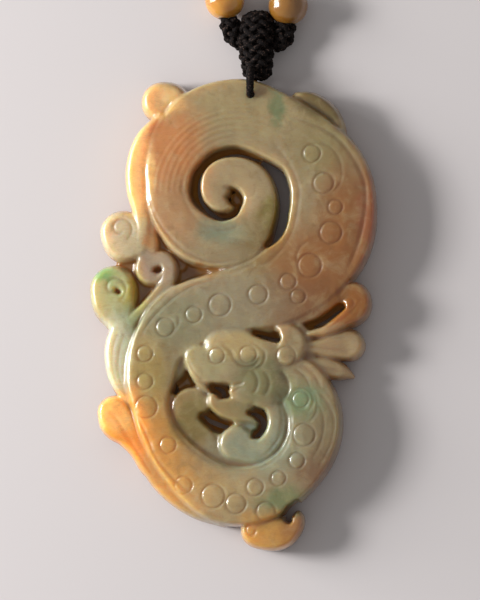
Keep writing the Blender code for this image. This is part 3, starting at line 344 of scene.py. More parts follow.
class Relief:
    """The carving's surface: where it is inside its outline, and its front and back height."""

    def __init__(self, length, thickness, hole):
        self.unit = length / DRAWING_LENGTH
        self.thickness = thickness
        self.hole = hole

    @staticmethod
    def smooth(points, steps=8):
        """A Catmull-Rom curve through the points, with so many steps between each two."""
        points = np.asarray(points, dtype=float)
        ends = np.vstack([2 * points[0] - points[1], points, 2 * points[-1] - points[-2]])
        t = np.linspace(0.0, 1.0, steps, endpoint=False)[:, None]
        parts = []
        for a, b, c, d in zip(ends[:-3], ends[1:-2], ends[2:-1], ends[3:]):
            parts.append(0.5 * (2 * b + (c - a) * t + (2 * a - 5 * b + 4 * c - d) * t ** 2
                                + (3 * b - a - 3 * c + d) * t ** 3))
        return np.vstack(parts + [points[-1:]])

    @staticmethod
    def beside(u, v, line, margin):
        """Which points are inside the line's box, widened by the margin."""
        return ((u > line[:, 0].min() - margin) & (u < line[:, 0].max() + margin)
                & (v > line[:, 1].min() - margin) & (v < line[:, 1].max() + margin))

    @staticmethod
    def reach_in(u, v, line):
        """How far inside a ribbon each point is, and its place along it from 0 to 1.

        The reach is the largest over the ribbon's short stretches of the half width less the
        distance to the stretch, with both taken at the nearest place on it.
        """
        reach = np.full(u.shape, -1.0)
        along = np.zeros(u.shape)
        near = Relief.beside(u, v, line, line[:, 2].max() + 1.0)
        pu = u[near]
        pv = v[near]
        best = np.full(pu.shape, -1.0)
        place = np.zeros(pu.shape)
        count = len(line) - 1
        for number in range(count):
            ax, ay, aw = line[number]
            bx, by, bw = line[number + 1]
            dx = bx - ax
            dy = by - ay
            share = np.clip(((pu - ax) * dx + (pv - ay) * dy) / (dx * dx + dy * dy), 0.0, 1.0)
            inside = aw + (bw - aw) * share - np.hypot(pu - ax - share * dx, pv - ay - share * dy)
            nearer = inside > best
            best = np.where(nearer, inside, best)
            place = np.where(nearer, (number + share) / count, place)
        reach[near] = best
        along[near] = place
        return reach, along

    @classmethod
    def groove(cls, u, v, line, depth, width):
        """An engraved line: a bell-shaped cut that fades out at both ends of the line."""
        cut = np.zeros(u.shape)
        margin = 3 * width
        near = cls.beside(u, v, line, margin)
        wide = np.column_stack([line, np.full(len(line), margin)])
        reach, along = cls.reach_in(u[near], v[near], wide)
        distance = margin - reach
        fade = np.clip(np.minimum(along, 1.0 - along) / LINE_FADE, 0.0, 1.0)
        cut[near] = depth * np.sqrt(fade) * np.exp(-(distance / width) ** 2)
        return cut

    def form(self, x, y):
        """The reach inside the outline and the front's height, without its lines and pearls."""
        u = x / self.unit
        v = y / self.unit
        reach = np.full(u.shape, -1.0)
        front = np.full(u.shape, LOWEST_FOOT)
        for start, end, foot, rounding, bulge, points in RIBBONS.values():
            inside, along = self.reach_in(u, v, self.smooth(points))
            top = start + (end - start) * along
            rise = np.clip(inside / rounding, 0.0, 1.0)
            height = foot + (top - foot) * np.sqrt(1.0 - (1.0 - rise) ** 2)
            height = height + bulge * np.clip(inside / BULGE_REACH, 0.0, 1.0)
            front = np.where(inside > -RIBBON_MARGIN, np.maximum(front, height), front)
            reach = np.maximum(reach, inside)
        # Painted shade: low sheets close the openings where no ribbon covers them
        for points in SHADE_WEBS.values():
            inside, _ = self.reach_in(u, v, self.smooth(points))
            front = np.where((inside > 0.0) & (reach <= 0.0), SHADE_WEB_HEIGHT, front)
            reach = np.maximum(reach, np.where(front == SHADE_WEB_HEIGHT, inside, reach))
        for floor, taper, points in SLOTS.values():
            inside, _ = self.reach_in(u, v, self.smooth(points))
            rise = np.clip(-inside / taper, 0.0, 1.0)
            low = floor if floor > 0.0 else np.minimum(front, SLOT_FOOT)
            sloped = low + (front - low) * np.cbrt(1.0 - (1.0 - rise) ** 3)
            front = np.where(rise < 1.0, np.minimum(front, sloped), front)
            if floor == 0.0:
                reach = np.minimum(reach, -inside)
        hole_x, hole_y, hole_radius = self.hole
        bore = np.hypot(x - hole_x, y - hole_y) - hole_radius
        return np.minimum(reach * self.unit, bore), front * self.thickness

    def details(self, x, y, reach):
        """What the pearls and turning marks add to the front, less the lines, and the lines."""
        u = x / self.unit
        v = y / self.unit
        cuts = self.lines(u, v)
        fade = np.clip(reach / (DETAIL_REACH * self.unit), 0.0, 1.0)
        raised = self.pearls(u, v) + self.striations(u, v) - cuts
        return raised * fade * self.unit, cuts

    def lines(self, u, v):
        """The depth of every engraved line, ring and spiral at each point."""
        cuts = np.zeros(u.shape)
        for depth, width, points in LINES.values():
            cuts = np.maximum(cuts, self.groove(u, v, self.smooth(points, 5), depth, width))
        for cx, cy, outer, inner, start, end, depth, width in SPIRALS:
            turn = np.radians(np.linspace(start, end, 30))
            radius = np.linspace(outer, inner, 30)
            line = np.column_stack([cx + radius * np.cos(turn), cy + radius * np.sin(turn)])
            cuts = np.maximum(cuts, self.groove(u, v, line, depth, width))
        depth, width = PEARL_CUT
        for cx, cy, radius in PEARLS:
            off = (np.hypot(u - cx, v - cy) - radius) / width
            cuts = np.maximum(cuts, depth * np.exp(-off ** 2))
        return cuts

    @staticmethod
    def pearls(u, v):
        """Each pearl swells a little inside its ring."""
        swell = np.zeros(u.shape)
        for cx, cy, radius in PEARLS:
            swell += np.clip(1.0 - ((u - cx) ** 2 + (v - cy) ** 2) / radius ** 2, 0.0, 1.0)
        return PEARL_SWELL * swell

    @staticmethod
    def striations(u, v):
        """Faint turning marks round the ring's upper left, as waves of its radius."""
        du = u - RING_MIDDLE[0]
        dv = v - RING_MIDDLE[1]
        radius = np.hypot(du, dv)
        turn = np.degrees(np.arctan2(dv, du))
        where = np.ones(u.shape)
        for value, (low, high), (fade_in, fade_out) in (
                (turn, MARK_ANGLES, MARK_ANGLE_FADES), (radius, MARK_RADII, MARK_RADIUS_FADES)):
            where *= np.clip((value - low) / fade_in, 0.0, 1.0)
            where *= np.clip((high - value) / fade_out, 0.0, 1.0)
        return MARK_HEIGHT * where * np.sin(2 * np.pi * radius / MARK_SPACING)

    def back(self, x, y, reach):
        """The flat back with its rounded edge and the cord's channel to the top edge."""
        rise = np.clip(reach / BACK_ROUNDING, 0.0, 1.0)
        back = BACK_ROUNDING * (1.0 - np.sqrt(1.0 - (1.0 - rise) ** 2))
        hole_x, hole_y, hole_radius = self.hole
        across = np.abs(x - hole_x) / (CHANNEL_WIDTH * hole_radius)
        channel = hole_radius * (1.0 + np.sqrt(np.clip(1.0 - across ** 2, 0.0, 1.0)))
        return np.where((across < 1.0) & (y > hole_y), np.maximum(back, channel), back)


def cut_triangles(triangles, level):
    """Cut triangles where the level is zero and keep the positive side.

    Each triangle that the zero line crosses gives one or two smaller ones, with new corners at
    the share of its sides where the level, taken as even along them, is zero.
    """
    inside = level[triangles] > 0
    count = inside.sum(axis=1)
    whole = triangles[count == 3]

    def turned(rows, first):
        """Each triangle turned so that the corner of the given number comes first."""
        order = (first[:, None] + np.arange(3)) % 3
        return rows[np.arange(len(rows))[:, None], order]

    lone = turned(triangles[count == 1], np.argmax(inside[count == 1], axis=1))
    pair = turned(triangles[count == 2], np.argmin(inside[count == 2], axis=1))
    cuts = np.vstack([lone[:, [0, 1]], lone[:, [0, 2]], pair[:, [0, 1]], pair[:, [0, 2]]])
    edges, numbers = np.unique(np.sort(cuts, axis=1), axis=0, return_inverse=True)
    numbers = numbers.reshape(-1) + len(level)
    splits = np.cumsum([len(lone), len(lone), len(pair)])
    lone_ab, lone_ac, pair_ab, pair_ac = np.split(numbers, splits)
    kept = np.vstack([
        whole,
        np.stack([lone[:, 0], lone_ab, lone_ac], axis=1),
        np.stack([pair_ab, pair[:, 1], pair[:, 2]], axis=1),
        np.stack([pair_ab, pair[:, 2], pair_ac], axis=1)])
    border = np.vstack([np.stack([lone_ab, lone_ac], axis=1), np.stack([pair_ac, pair_ab], axis=1)])
    share = level[edges[:, 0]] / (level[edges[:, 0]] - level[edges[:, 1]])
    return kept, edges, share, border


def new_object(name, points, faces, smooth=True):
    """Make an object at the origin from an array of points and a list of faces."""
    mesh = bpy.data.meshes.new(name)
    mesh.from_pydata(np.asarray(points, dtype=float).tolist(), [], faces)
    mesh.update()
    mesh.polygons.foreach_set("use_smooth", np.full(len(mesh.polygons), smooth))
    item = bpy.data.objects.new(name, mesh)
    bpy.context.scene.collection.objects.link(item)
    return item


def blurred(values, width):
    """A grid smoothed by a bell curve so many squares wide, down its columns and along its rows."""
    reach = int(3 * width) + 1
    bell = np.exp(-0.5 * (np.arange(-reach, reach + 1) / width) ** 2)
    bell /= bell.sum()
    for axis in (0, 1):
        edges = [(reach, reach) if side == axis else (0, 0) for side in (0, 1)]
        padded = np.pad(values, edges, mode="edge")
        kept = np.arange(values.shape[axis])
        values = sum(part * np.take(padded, kept + shift, axis=axis)
                     for shift, part in enumerate(bell))
    return values


def relief_surface(relief, step, softness):
    """The carving's points and faces, and what its material reads at each point.

    Front and back are heights z = front(x, y) and z = back(x, y) over one grid, which is cut
    at the outline, and the wall joins them along the cut. The front's form is blurred so that
    its creases are as soft as polished stone, and then the lines and pearls are added to it.
    A hollow is how far the form lies below its own wider blur, as a share of the thickness.
    The material paints shade and a glow into the hollows by it.
    """
    half_x, half_y = (side * relief.unit for side in GRID_HALF)
    columns = int(2 * half_x / step) + 1
    rows = int(2 * half_y / step) + 1
    x, y = np.meshgrid(np.linspace(-half_x, half_x, columns), np.linspace(-half_y, half_y, rows))
    shape = x.shape
    x = x.ravel()
    y = y.ravel()
    level, front = relief.form(x, y)
    front = front.reshape(shape)
    form = blurred(front, softness / step)
    hollow = (blurred(form, HOLLOW_WIDTH * relief.unit / step) - form) / relief.thickness
    # No corner of the grid is left so near the cut that a sliver of a triangle comes of it
    least = 0.1 * step
    level = np.where(np.abs(level) < least, np.where(level > 0, least, -least), level)
    number = np.arange(columns * rows).reshape(rows, columns)
    a, b, c, d = (part.ravel() for part in (
        number[:-1, :-1], number[:-1, 1:], number[1:, 1:], number[1:, :-1]))
    squares = np.vstack([np.stack([a, b, c], axis=1), np.stack([a, c, d], axis=1)])
    kept, edges, share, border = cut_triangles(squares, level)

    def carried(values):
        """Values at the grid's corners and, by share, at the new corners on the cut."""
        values = values.ravel()
        first = values[edges[:, 0]]
        return np.concatenate([values, first + share * (values[edges[:, 1]] - first)])

    used, kept = np.unique(kept, return_inverse=True)
    kept = kept.reshape(-1, 3)
    border = np.searchsorted(used, border)
    x, y, form, hollow, reach = (carried(part)[used] for part in (x, y, form, hollow, level))
    reach = np.maximum(reach, 0.0)
    raised, cuts = relief.details(x, y, reach)
    front = form + raised
    back = relief.back(x, y, reach)
    size = len(used)
    points = np.vstack([np.stack([x, y, front], axis=1), np.stack([x, y, back], axis=1)])
    wall = np.vstack([
        np.stack([border[:, 1], border[:, 0], border[:, 0] + size], axis=1),
        np.stack([border[:, 1], border[:, 0] + size, border[:, 1] + size], axis=1)])
    faces = np.vstack([kept, kept[:, ::-1] + size, wall])
    nothing = np.zeros(size)
    # The back's points near the outline carry the hollow too, so the painted shade and glow reach
    # down the walls
    below = np.where(reach < EDGE_REACH * relief.unit, hollow, 0.0)
    read = {"cut": np.concatenate([cuts, nothing]), "hollow": np.concatenate([hollow, below])}
    return points, faces, read


# How much more readily the back's points are thinned than the front's, the most there is
BACK_FIRST = 1000.0


def thin_back(item, front_count, target):
    """Thin a mesh to so many faces, all taken from the points after the front's."""
    count = len(item.data.polygons)
    if count <= target:
        return
    group = item.vertex_groups.new(name="back")
    group.add(list(range(front_count, len(item.data.vertices))), 1.0, "REPLACE")
    thinning = item.modifiers.new("Thin the back", "DECIMATE")
    thinning.use_collapse_triangulate = True
    thinning.ratio = target / count
    thinning.vertex_group = group.name
    thinning.vertex_group_factor = BACK_FIRST
    depsgraph = bpy.context.evaluated_depsgraph_get()
    mesh = bpy.data.meshes.new_from_object(
        item.evaluated_get(depsgraph), preserve_all_data_layers=True, depsgraph=depsgraph)
    item.modifiers.clear()
    old = item.data
    item.data = mesh
    item.vertex_groups.clear()
    bpy.data.meshes.remove(old)
    mesh.polygons.foreach_set("use_smooth", np.ones(len(mesh.polygons), dtype=bool))


def set_attribute(item, name, values):
    """Store one number at each point of a mesh."""
    attribute = item.data.attributes.new(name, "FLOAT", "POINT")
    attribute.data.foreach_set("value", np.asarray(values, dtype=np.float32))


def tube_surface(path, radius, sides, ply=0, twist=0.0, groove=0.0):
    """A tube along a path, closed at each end by a low point.

    Each section is a circle in the plane across the path, whose radius shrinks by the groove
    between its plies, which turn round the path once in each twist length.
    """
    path = np.asarray(path, dtype=float)
    tangent = np.gradient(path, axis=0)
    tangent /= np.linalg.norm(tangent, axis=1)[:, None]
    normal = np.empty_like(path)
    start = np.array([0.0, 0.0, 1.0])
    if abs(tangent[0] @ start) > 0.9:
        start = np.array([1.0, 0.0, 0.0])
    current = start - tangent[0] * (tangent[0] @ start)
    for number, direction in enumerate(tangent):
        current = current - direction * (direction @ current)
        current /= np.linalg.norm(current)
        normal[number] = current
    across = np.cross(tangent, normal)
    length = np.concatenate([[0.0], np.cumsum(np.linalg.norm(np.diff(path, axis=0), axis=1))])
    turn = np.linspace(0.0, 2 * np.pi, sides, endpoint=False)
    radius = np.broadcast_to(radius, (len(path),)).astype(float)
    size = np.ones((len(path), sides))
    if ply:
        phase = ply * turn[None, :] / 2 + ply * np.pi * length[:, None] / twist
        size = 1.0 - groove * (1.0 - np.abs(np.sin(phase)) ** 0.7)
    size = size * radius[:, None]
    ring = (path[:, None, :] + size[..., None] * (
        np.cos(turn)[None, :, None] * normal[:, None, :]
        + np.sin(turn)[None, :, None] * across[:, None, :]))
    points = np.vstack([ring.reshape(-1, 3), path[:1] - tangent[:1] * radius[0] * 0.5,
                        path[-1:] + tangent[-1:] * radius[-1] * 0.5])
    number = np.arange(len(path) * sides).reshape(len(path), sides)
    after = np.roll(number, -1, axis=1)
    side = np.stack([number[:-1], after[:-1], after[1:], number[1:]], axis=-1).reshape(-1, 4)
    tip = np.full(sides, len(path) * sides)
    caps = np.vstack([
        np.stack([after[0], number[0], tip], axis=1),
        np.stack([number[-1], after[-1], tip + 1], axis=1)])
    return points, side.tolist() + caps.tolist()


def join_surfaces(surfaces):
    """Several surfaces, each its points and faces, as one."""
    points = []
    faces = []
    count = 0
    for part_points, part_faces in surfaces:
        points.append(part_points)
        faces += [[corner + count for corner in face] for face in part_faces]
        count += len(part_points)
    return np.vstack(points), faces


# Millimetres in a metre
MILLIMETRES = 1000.0


class Nodes:
    """Short calls for a material's nodes."""

    def __init__(self, name):
        self.material = bpy.data.materials.new(name)
        self.material.use_nodes = True
        self.tree = self.material.node_tree
        self.shader = self.tree.nodes["Principled BSDF"]

    def add(self, kind, inputs=None):
        """A new node, with a value or a socket for each input's number or name."""
        node = self.tree.nodes.new("ShaderNode" + kind)
        for key, value in (inputs or {}).items():
            self.feed(node, key, value)
        return node

    def feed(self, node, key, value):
        """Link or set an input."""
        if isinstance(value, bpy.types.NodeSocket):
            self.tree.links.new(value, node.inputs[key])
        elif value is not None:
            node.inputs[key].default_value = value

    def math(self, operation, first, second=None):
        """One or two numbers worked out."""
        node = self.add("Math", {0: first, 1: second})
        node.operation = operation
        return node.outputs[0]

    def vector(self, operation, first, second=None, scale=None):
        """One or two vectors worked out."""
        node = self.add("VectorMath", {0: first, 1: second, 3: scale})
        node.operation = operation
        return node.outputs["Value" if operation == "LENGTH" else "Vector"]

    def place(self):
        """Object coordinates in millimetres."""
        return self.vector("SCALE", self.add("TexCoord").outputs["Object"], scale=MILLIMETRES)

    def part(self, place, number):
        """The x, y or z of a place, as number 0, 1 or 2."""
        return self.add("SeparateXYZ", {0: place}).outputs[number]

    def attribute(self, name):
        """A number that the piece's own points store."""
        node = self.add("Attribute")
        node.attribute_name = name
        return node.outputs["Fac"]

    def noise(self, place, scale, detail, roughness=0.5, distortion=0.0, output="Fac"):
        """Noise from 0 to 1, or a colour of three noises."""
        node = self.add("TexNoise", {
            "Vector": place, "Scale": scale, "Detail": detail, "Roughness": roughness,
            "Distortion": distortion})
        return node.outputs[output]

    def ramp(self, value, low, high, to_low=0.0, to_high=1.0):
        """A value between low and high mapped smoothly to the other two, and held beyond."""
        node = self.add("MapRange", {0: value, 1: low, 2: high, 3: to_low, 4: to_high})
        node.interpolation_type = "SMOOTHSTEP"
        return node.outputs[0]

    def mix(self, factor, first, second):
        """Two colours mixed, each a socket or linear red, green and blue."""
        node = self.add("Mix", {0: factor})
        node.data_type = "RGBA"
        for number, colour in ((6, first), (7, second)):
            self.feed(node, number, (*colour, 1.0) if isinstance(colour, tuple) else colour)
        return node.outputs[2]

    def bump(self, height, strength, distance):
        """A normal that leans with a height."""
        node = self.add("Bump", {"Height": height, "Strength": strength, "Distance": distance})
        return node.outputs["Normal"]

    def set(self, **values):
        """Set the shader's own sockets by name, with underscores for spaces."""
        for name, value in values.items():
            self.feed(self.shader, name.replace("_", " "), value)
        return self.material


def linear(red, green, blue):
    """A colour as seen on screen, from 0 to 255, as linear light."""
    values = []
    for part in (red, green, blue):
        part = part / 255.0
        values.append(part / 12.92 if part <= 0.04045 else ((part + 0.055) / 1.055) ** 2.4)
    return tuple(values)


# How far noise shifts the stains, in millimetres, and how far in and out of a stain's edge the
# softest one fades, as shares of its size
STAIN_SHIFT = 4.0
STAIN_FADE_IN = 0.7
STAIN_FADE_OUT = 0.65
# The jade's own colour as seen on screen, and its stains, three of them painted shade in recesses:
# middle and half sizes in millimetres, softness of the edge, strength and colour as seen on screen
JADE_COLOUR = (150, 134, 100)
STAINS = (
    ("olive_crown", 1.5, 28.5, 13.0, 5.0, 0.9, 0.9, (160, 143, 102)),
    ("peach_ring", -8.5, 21.0, 5.0, 7.5, 0.9, 0.9, (196, 132, 76)),
    ("peach_ring_low", -8.0, 14.0, 4.0, 5.0, 0.9, 0.8, (176, 138, 96)),
    ("amber_band", -13.2, 19.0, 2.2, 8.0, 0.7, 1.0, (232, 192, 126)),
    ("amber_knob", -10.2, 29.2, 3.2, 2.6, 0.6, 1.0, (208, 170, 112)),
    ("grey_inner", 0.5, 16.5, 5.0, 4.5, 1.0, 0.8, (168, 148, 110)),
    ("olive_tongue", 5.8, 12.6, 2.0, 3.2, 0.8, 0.85, (132, 120, 52)),
    ("green_ring_low", -1.2, 11.0, 3.4, 1.6, 0.9, 0.7, (124, 136, 112)),
    ("brown_inner_right", 4.3, 9.0, 3.0, 4.0, 0.9, 0.7, (126, 106, 56)),
    ("olive_lobe", 12.8, 28.4, 4.2, 2.4, 0.5, 1.0, (108, 92, 50)),
    ("green_shoulder", 6.2, 28.0, 1.1, 2.6, 0.8, 0.75, (100, 122, 84)),
    ("olive_shoulder", 12.5, 22.5, 4.0, 4.0, 0.9, 0.8, (142, 128, 84)),
    ("brown_right", 16.0, 12.0, 4.5, 8.0, 0.9, 0.95, (142, 92, 40)),
    ("red_right_edge", 19.0, 12.0, 2.0, 7.0, 0.8, 0.8, (146, 84, 46)),
    ("brown_middle_right", 11.5, 6.0, 6.5, 5.5, 0.9, 0.9, (144, 92, 38)),
    ("brown_low_right", 9.0, 1.0, 6.0, 3.5, 0.9, 0.9, (130, 82, 36)),
    ("beige_upper_curl", -15.8, 10.5, 3.6, 3.6, 0.6, 1.0, (198, 184, 148)),
    ("green_curl", -16.8, 3.0, 3.6, 3.6, 0.6, 1.0, (178, 176, 124)),
    ("green_patch", -18.0, 5.2, 1.6, 1.2, 0.9, 0.8, (112, 160, 98)),
    # Painted shade in the deep recess between the lower curls
    ("painted_shade_olive_recess", -13.4, 2.6, 1.4, 3.0, 0.7, 0.9, (174, 154, 60)),
    # Painted shade in the low opening under the ring
    ("painted_shade_under_ring", -6.0, 5.6, 3.2, 0.9, 0.6, 0.9, (140, 92, 40)),
    ("green_stem", -13.8, -0.8, 1.8, 1.8, 0.9, 0.6, (144, 172, 116)),
    # Painted shade in the recess between the band, the ring and the small curl
    ("painted_shade_orange_recess", -11.0, 9.6, 1.0, 2.0, 0.7, 0.8, (194, 140, 84)),
    ("mauve_small_curl", -10.2, 6.0, 3.2, 2.6, 0.6, 0.8, (168, 148, 126)),
    ("celadon_band", -1.5, 1.0, 9.0, 4.0, 0.9, 0.8, (148, 138, 110)),
    ("celadon_left", -9.0, -1.5, 5.0, 3.5, 0.9, 0.8, (134, 133, 102)),
    ("pale_mane", -16.0, -6.0, 2.4, 6.0, 0.7, 1.0, (192, 194, 164)),
    ("olive_left_body", -11.5, -9.0, 3.0, 5.0, 0.9, 0.8, (166, 144, 80)),
    ("orange_low_left", -9.5, -17.5, 4.0, 5.5, 0.9, 0.9, (200, 144, 66)),
    ("bright_orange_curl", -14.8, -17.0, 3.4, 6.0, 0.7, 1.0, (226, 150, 58)),
    ("amber_curl", -16.2, -13.8, 2.8, 2.6, 0.7, 1.0, (242, 190, 106)),
    ("orange_rim", -7.0, -24.0, 5.0, 3.2, 0.9, 0.8, (204, 150, 70)),
    ("tan_bottom", -1.0, -25.0, 5.0, 3.0, 0.9, 0.7, (178, 154, 108)),
    ("orange_tail_knob", 5.0, -30.2, 4.6, 2.6, 0.6, 1.0, (194, 146, 72)),
    ("brown_tail_end", 8.0, -29.0, 1.8, 2.4, 0.8, 0.7, (146, 94, 48)),
    ("green_bottom", 7.0, -26.0, 3.4, 1.8, 0.9, 0.7, (104, 124, 78)),
    ("brown_low_rim", 12.5, -22.0, 3.2, 4.5, 0.9, 0.8, (122, 80, 52)),
    ("olive_low_right", 11.5, -15.5, 4.5, 5.5, 0.9, 0.7, (130, 118, 86)),
    ("green_neck", 9.2, -12.0, 3.0, 2.6, 0.9, 0.8, (116, 142, 104)),
    ("celadon_throat", 3.5, -18.0, 5.5, 4.0, 0.8, 0.9, (138, 146, 122)),
    ("olive_beard", -5.5, -14.5, 2.8, 3.4, 0.8, 0.9, (126, 110, 56)),
    ("olive_jaw", 0.0, -13.5, 3.4, 1.8, 0.7, 0.8, (142, 128, 82)),
    ("tan_snout", -4.0, -6.5, 3.4, 3.0, 0.7, 0.9, (162, 152, 112)),
    ("ochre_skull", 1.5, -4.8, 3.6, 2.2, 0.8, 0.9, (178, 158, 110)),
    ("olive_cheek", 4.0, -9.5, 3.4, 3.4, 0.8, 0.9, (118, 116, 76)),
    ("grey_ear", 7.8, -5.0, 2.2, 2.6, 0.7, 0.9, (144, 128, 92)),
    ("brown_hooked_petal", 16.2, 0.5, 3.6, 3.2, 0.7, 0.95, (138, 84, 14)),
    ("tan_round_petal", 14.0, -6.2, 4.5, 3.4, 0.8, 0.85, (172, 144, 106)),
)


def jade_material(settings):
    """Polished translucent jade: Object-coordinate stains, clouds, veins, glossy coat, painted
    shade and glow.
    """
    nodes = Nodes("jade")
    place = nodes.place()
    wobble = nodes.noise(place, 0.35, 4.0, 0.6, output="Color")
    shift = nodes.vector("SUBTRACT", wobble, (0.5, 0.5, 0.5))
    warped = nodes.vector("ADD", place, nodes.vector("SCALE", shift, scale=STAIN_SHIFT))
    colour = linear(*JADE_COLOUR)
    for _, x, y, half_x, half_y, softness, strength, seen in STAINS:
        off = nodes.vector("SUBTRACT", warped, (x, y, 0.0))
        off = nodes.vector("MULTIPLY", off, (1 / half_x, 1 / half_y, 0.0))
        factor = nodes.ramp(
            nodes.vector("LENGTH", off), 1.0 - STAIN_FADE_IN * softness,
            1.0 + STAIN_FADE_OUT * softness, strength, 0.0)
        colour = nodes.mix(factor, colour, linear(*seen))
    cloud = nodes.noise(place, 0.40, 5.0, 0.62, 0.6)
    colour = nodes.mix(nodes.ramp(cloud, 0.46, 0.72, 0.0, 0.26), colour, linear(190, 176, 134))
    dark = nodes.noise(nodes.vector("ADD", place, (31.0, 17.0, 5.0)), 0.6, 5.0, 0.62, 0.8)
    colour = nodes.mix(nodes.ramp(dark, 0.50, 0.74, 0.0, 0.24), colour, linear(98, 76, 40))
    vein = nodes.noise(nodes.vector("MULTIPLY", place, (0.5, 1.6, 1.0)), 0.6, 5.0, 0.7, 1.5)
    line = nodes.math("ABSOLUTE", nodes.math("SUBTRACT", vein, 0.5))
    colour = nodes.mix(nodes.ramp(line, 0.0, 0.035, 0.16, 0.0), colour, linear(140, 78, 34))
    # Painted light and shade: the lower the surface, the more it is tinted amber-brown, for the
    # light that shines through the stone onto the walls of the openings and the shade down in them
    low = nodes.ramp(nodes.part(place, 2), 1.4, 4.0, 0.85, 0.0)
    colour = nodes.mix(low, colour, linear(128, 82, 30))
    # Painted shade: the hollows are darkened towards brown
    depth = nodes.attribute("hollow")
    hollow = nodes.ramp(depth, 0.02, 0.11, 0.0, 0.9)
    colour = nodes.mix(hollow, colour, linear(146, 96, 38))
    # Painted shade: the engraved lines, rings and spirals are darkened towards brown
    groove = nodes.ramp(nodes.attribute("cut"), 0.03, 0.20, 0.0, 0.16)
    colour = nodes.mix(groove, colour, linear(110, 80, 40))
    # Painted glow: the hollows give off a weak amber light for the light that passes through the
    # stone
    painted_glow = nodes.mix(nodes.ramp(depth, 0.05, 0.26), (0.0, 0.0, 0.0), linear(206, 142, 66))
    waves = nodes.noise(place, 0.7, 1.0, 0.4)
    normal = nodes.bump(waves, settings.polish_waviness, 0.0012)
    return nodes.set(
        Base_Color=colour, Roughness=settings.jade_roughness, IOR=1.5,
        Subsurface_Weight=settings.jade_translucency, Subsurface_Radius=(1.0, 0.60, 0.30),
        Subsurface_Scale=0.0050, Coat_Weight=0.75, Coat_Roughness=0.03, Coat_IOR=1.5, Normal=normal,
        Emission_Color=painted_glow, Emission_Strength=0.045)


def bead_material():
    """Polished ochre stone with soft bands, darker in the right bead."""
    nodes = Nodes("ochre_bead")
    place = nodes.place()
    cloud = nodes.noise(place, 0.28, 2.0, 0.5, 0.4)
    colour = nodes.mix(nodes.ramp(cloud, 0.36, 0.64), linear(208, 152, 66), linear(176, 118, 44))
    band = nodes.noise(nodes.vector("MULTIPLY", place, (0.3, 1.4, 0.6)), 0.8, 3.0, 0.5, 0.8)
    colour = nodes.mix(nodes.ramp(band, 0.5, 0.75, 0.0, 0.25), colour, linear(214, 164, 92))
    right = nodes.ramp(nodes.part(place, 0), 3.0, 4.0, 0.0, 0.8)
    colour = nodes.mix(right, colour, linear(118, 78, 26))
    return nodes.set(
        Base_Color=colour, Roughness=0.20, IOR=1.5, Subsurface_Weight=0.8,
        Subsurface_Radius=(1.0, 0.7, 0.4), Subsurface_Scale=0.0014, Coat_Weight=1.0,
        Coat_Roughness=0.02)


def cord_material():
    """Black waxed cord with painted glints on its fine threads."""
    nodes = Nodes("black_cord")
    place = nodes.place()
    thread = nodes.noise(place, 4.0, 4.0, 0.75, 0.5)
    # Painted glints: light specks in the colour where the threads would catch the light
    colour = nodes.mix(nodes.ramp(thread, 0.56, 0.66), linear(14, 10, 10), linear(104, 82, 72))
    rough = nodes.ramp(thread, 0.35, 0.7, 0.8, 0.45)
    normal = nodes.bump(thread, 1.0, 0.00020)
    return nodes.set(Base_Color=colour, Roughness=rough, Normal=normal, Specular_IOR_Level=0.10)


def stage_material(settings):
    """Matt pale table top."""
    nodes = Nodes("pale_table")
    return nodes.set(Base_Color=(*settings.floor_colour, 1.0), Roughness=0.75)


class JadeSettings(bpy.types.PropertyGroup):
    """Sizes and finish of the carving."""

    length: FloatProperty(
        name="Length", description="The carving's length from its tail knob to its top edge",
        default=0.065, unit="LENGTH")
    thickness: FloatProperty(
        name="Thickness", description="From the flat back to the top of the dragon's head",
        default=0.0070, unit="LENGTH")
    grid_step: FloatProperty(
        name="Fineness", description="Side of the squares that the relief is worked out on",
        default=0.000150, unit="LENGTH")
    face_limit: IntProperty(
        name="Faces", description="Faces left once the flat back is thinned", default=186000)
    crease_softness: FloatProperty(
        name="Softness", description="How soft the polish leaves the creases", default=0.00017,
        unit="LENGTH")
    hole_web: FloatProperty(
        name="Web", description="Jade left between the drilled hole and the top edge",
        default=0.0016, unit="LENGTH")
    jade_roughness: FloatProperty(
        name="Roughness", description="Roughness of the polish", default=0.34, subtype="FACTOR")
    jade_translucency: FloatProperty(
        name="Translucency", description="Share of light that goes into the stone",
        default=1.0, subtype="FACTOR")
    polish_waviness: FloatProperty(
        name="Waviness", description="How far the hand polish is from flat", default=0.12,
        subtype="FACTOR")


class CordSettings(bpy.types.PropertyGroup):
    """Sizes of the cord, its knot and its coil."""

    diameter: FloatProperty(
        name="Diameter", description="Thickness of the cord", default=0.0012, unit="LENGTH")
    length: FloatProperty(
        name="Length", description="Whole length of the necklace cord", default=0.60,
        unit="LENGTH")
    gap: FloatProperty(
        name="Gap", description="Clearance round the cord where it goes through a hole",
        default=0.00028, unit="LENGTH")


class BeadSettings(bpy.types.PropertyGroup):
    """Size of the beads."""

    diameter: FloatProperty(
        name="Diameter", description="Thickness of a bead", default=0.0055, unit="LENGTH")


class StageSettings(bpy.types.PropertyGroup):
    """Camera, floor and light."""

    floor_colour: FloatVectorProperty(
        name="Floor", description="Colour of the table", default=(0.61, 0.58, 0.585),
        subtype="COLOR", size=3)
    camera_height: FloatProperty(
        name="Camera height", description="Distance of the camera above the carving's front",
        default=0.5, unit="LENGTH")
    frame_height: FloatProperty(
        name="Frame", description="Height of the picture at the carving's front",
        default=0.0822, unit="LENGTH")
    camera_tilt: FloatProperty(
        name="Tilt", description="How far the camera leans from straight above, in degrees",
        default=7.0)
    room_light: FloatProperty(
        name="Room light", description="Strength of the light from all round", default=0.36)


# The middle of the picture, from the middle of the carving, and the height that it is at
VIEW_MIDDLE = (0.00090, 0.00170)
VIEW_PLANE = 0.0038
# Which way round from +X the camera leans, in degrees
CAMERA_SIDE = -45.0
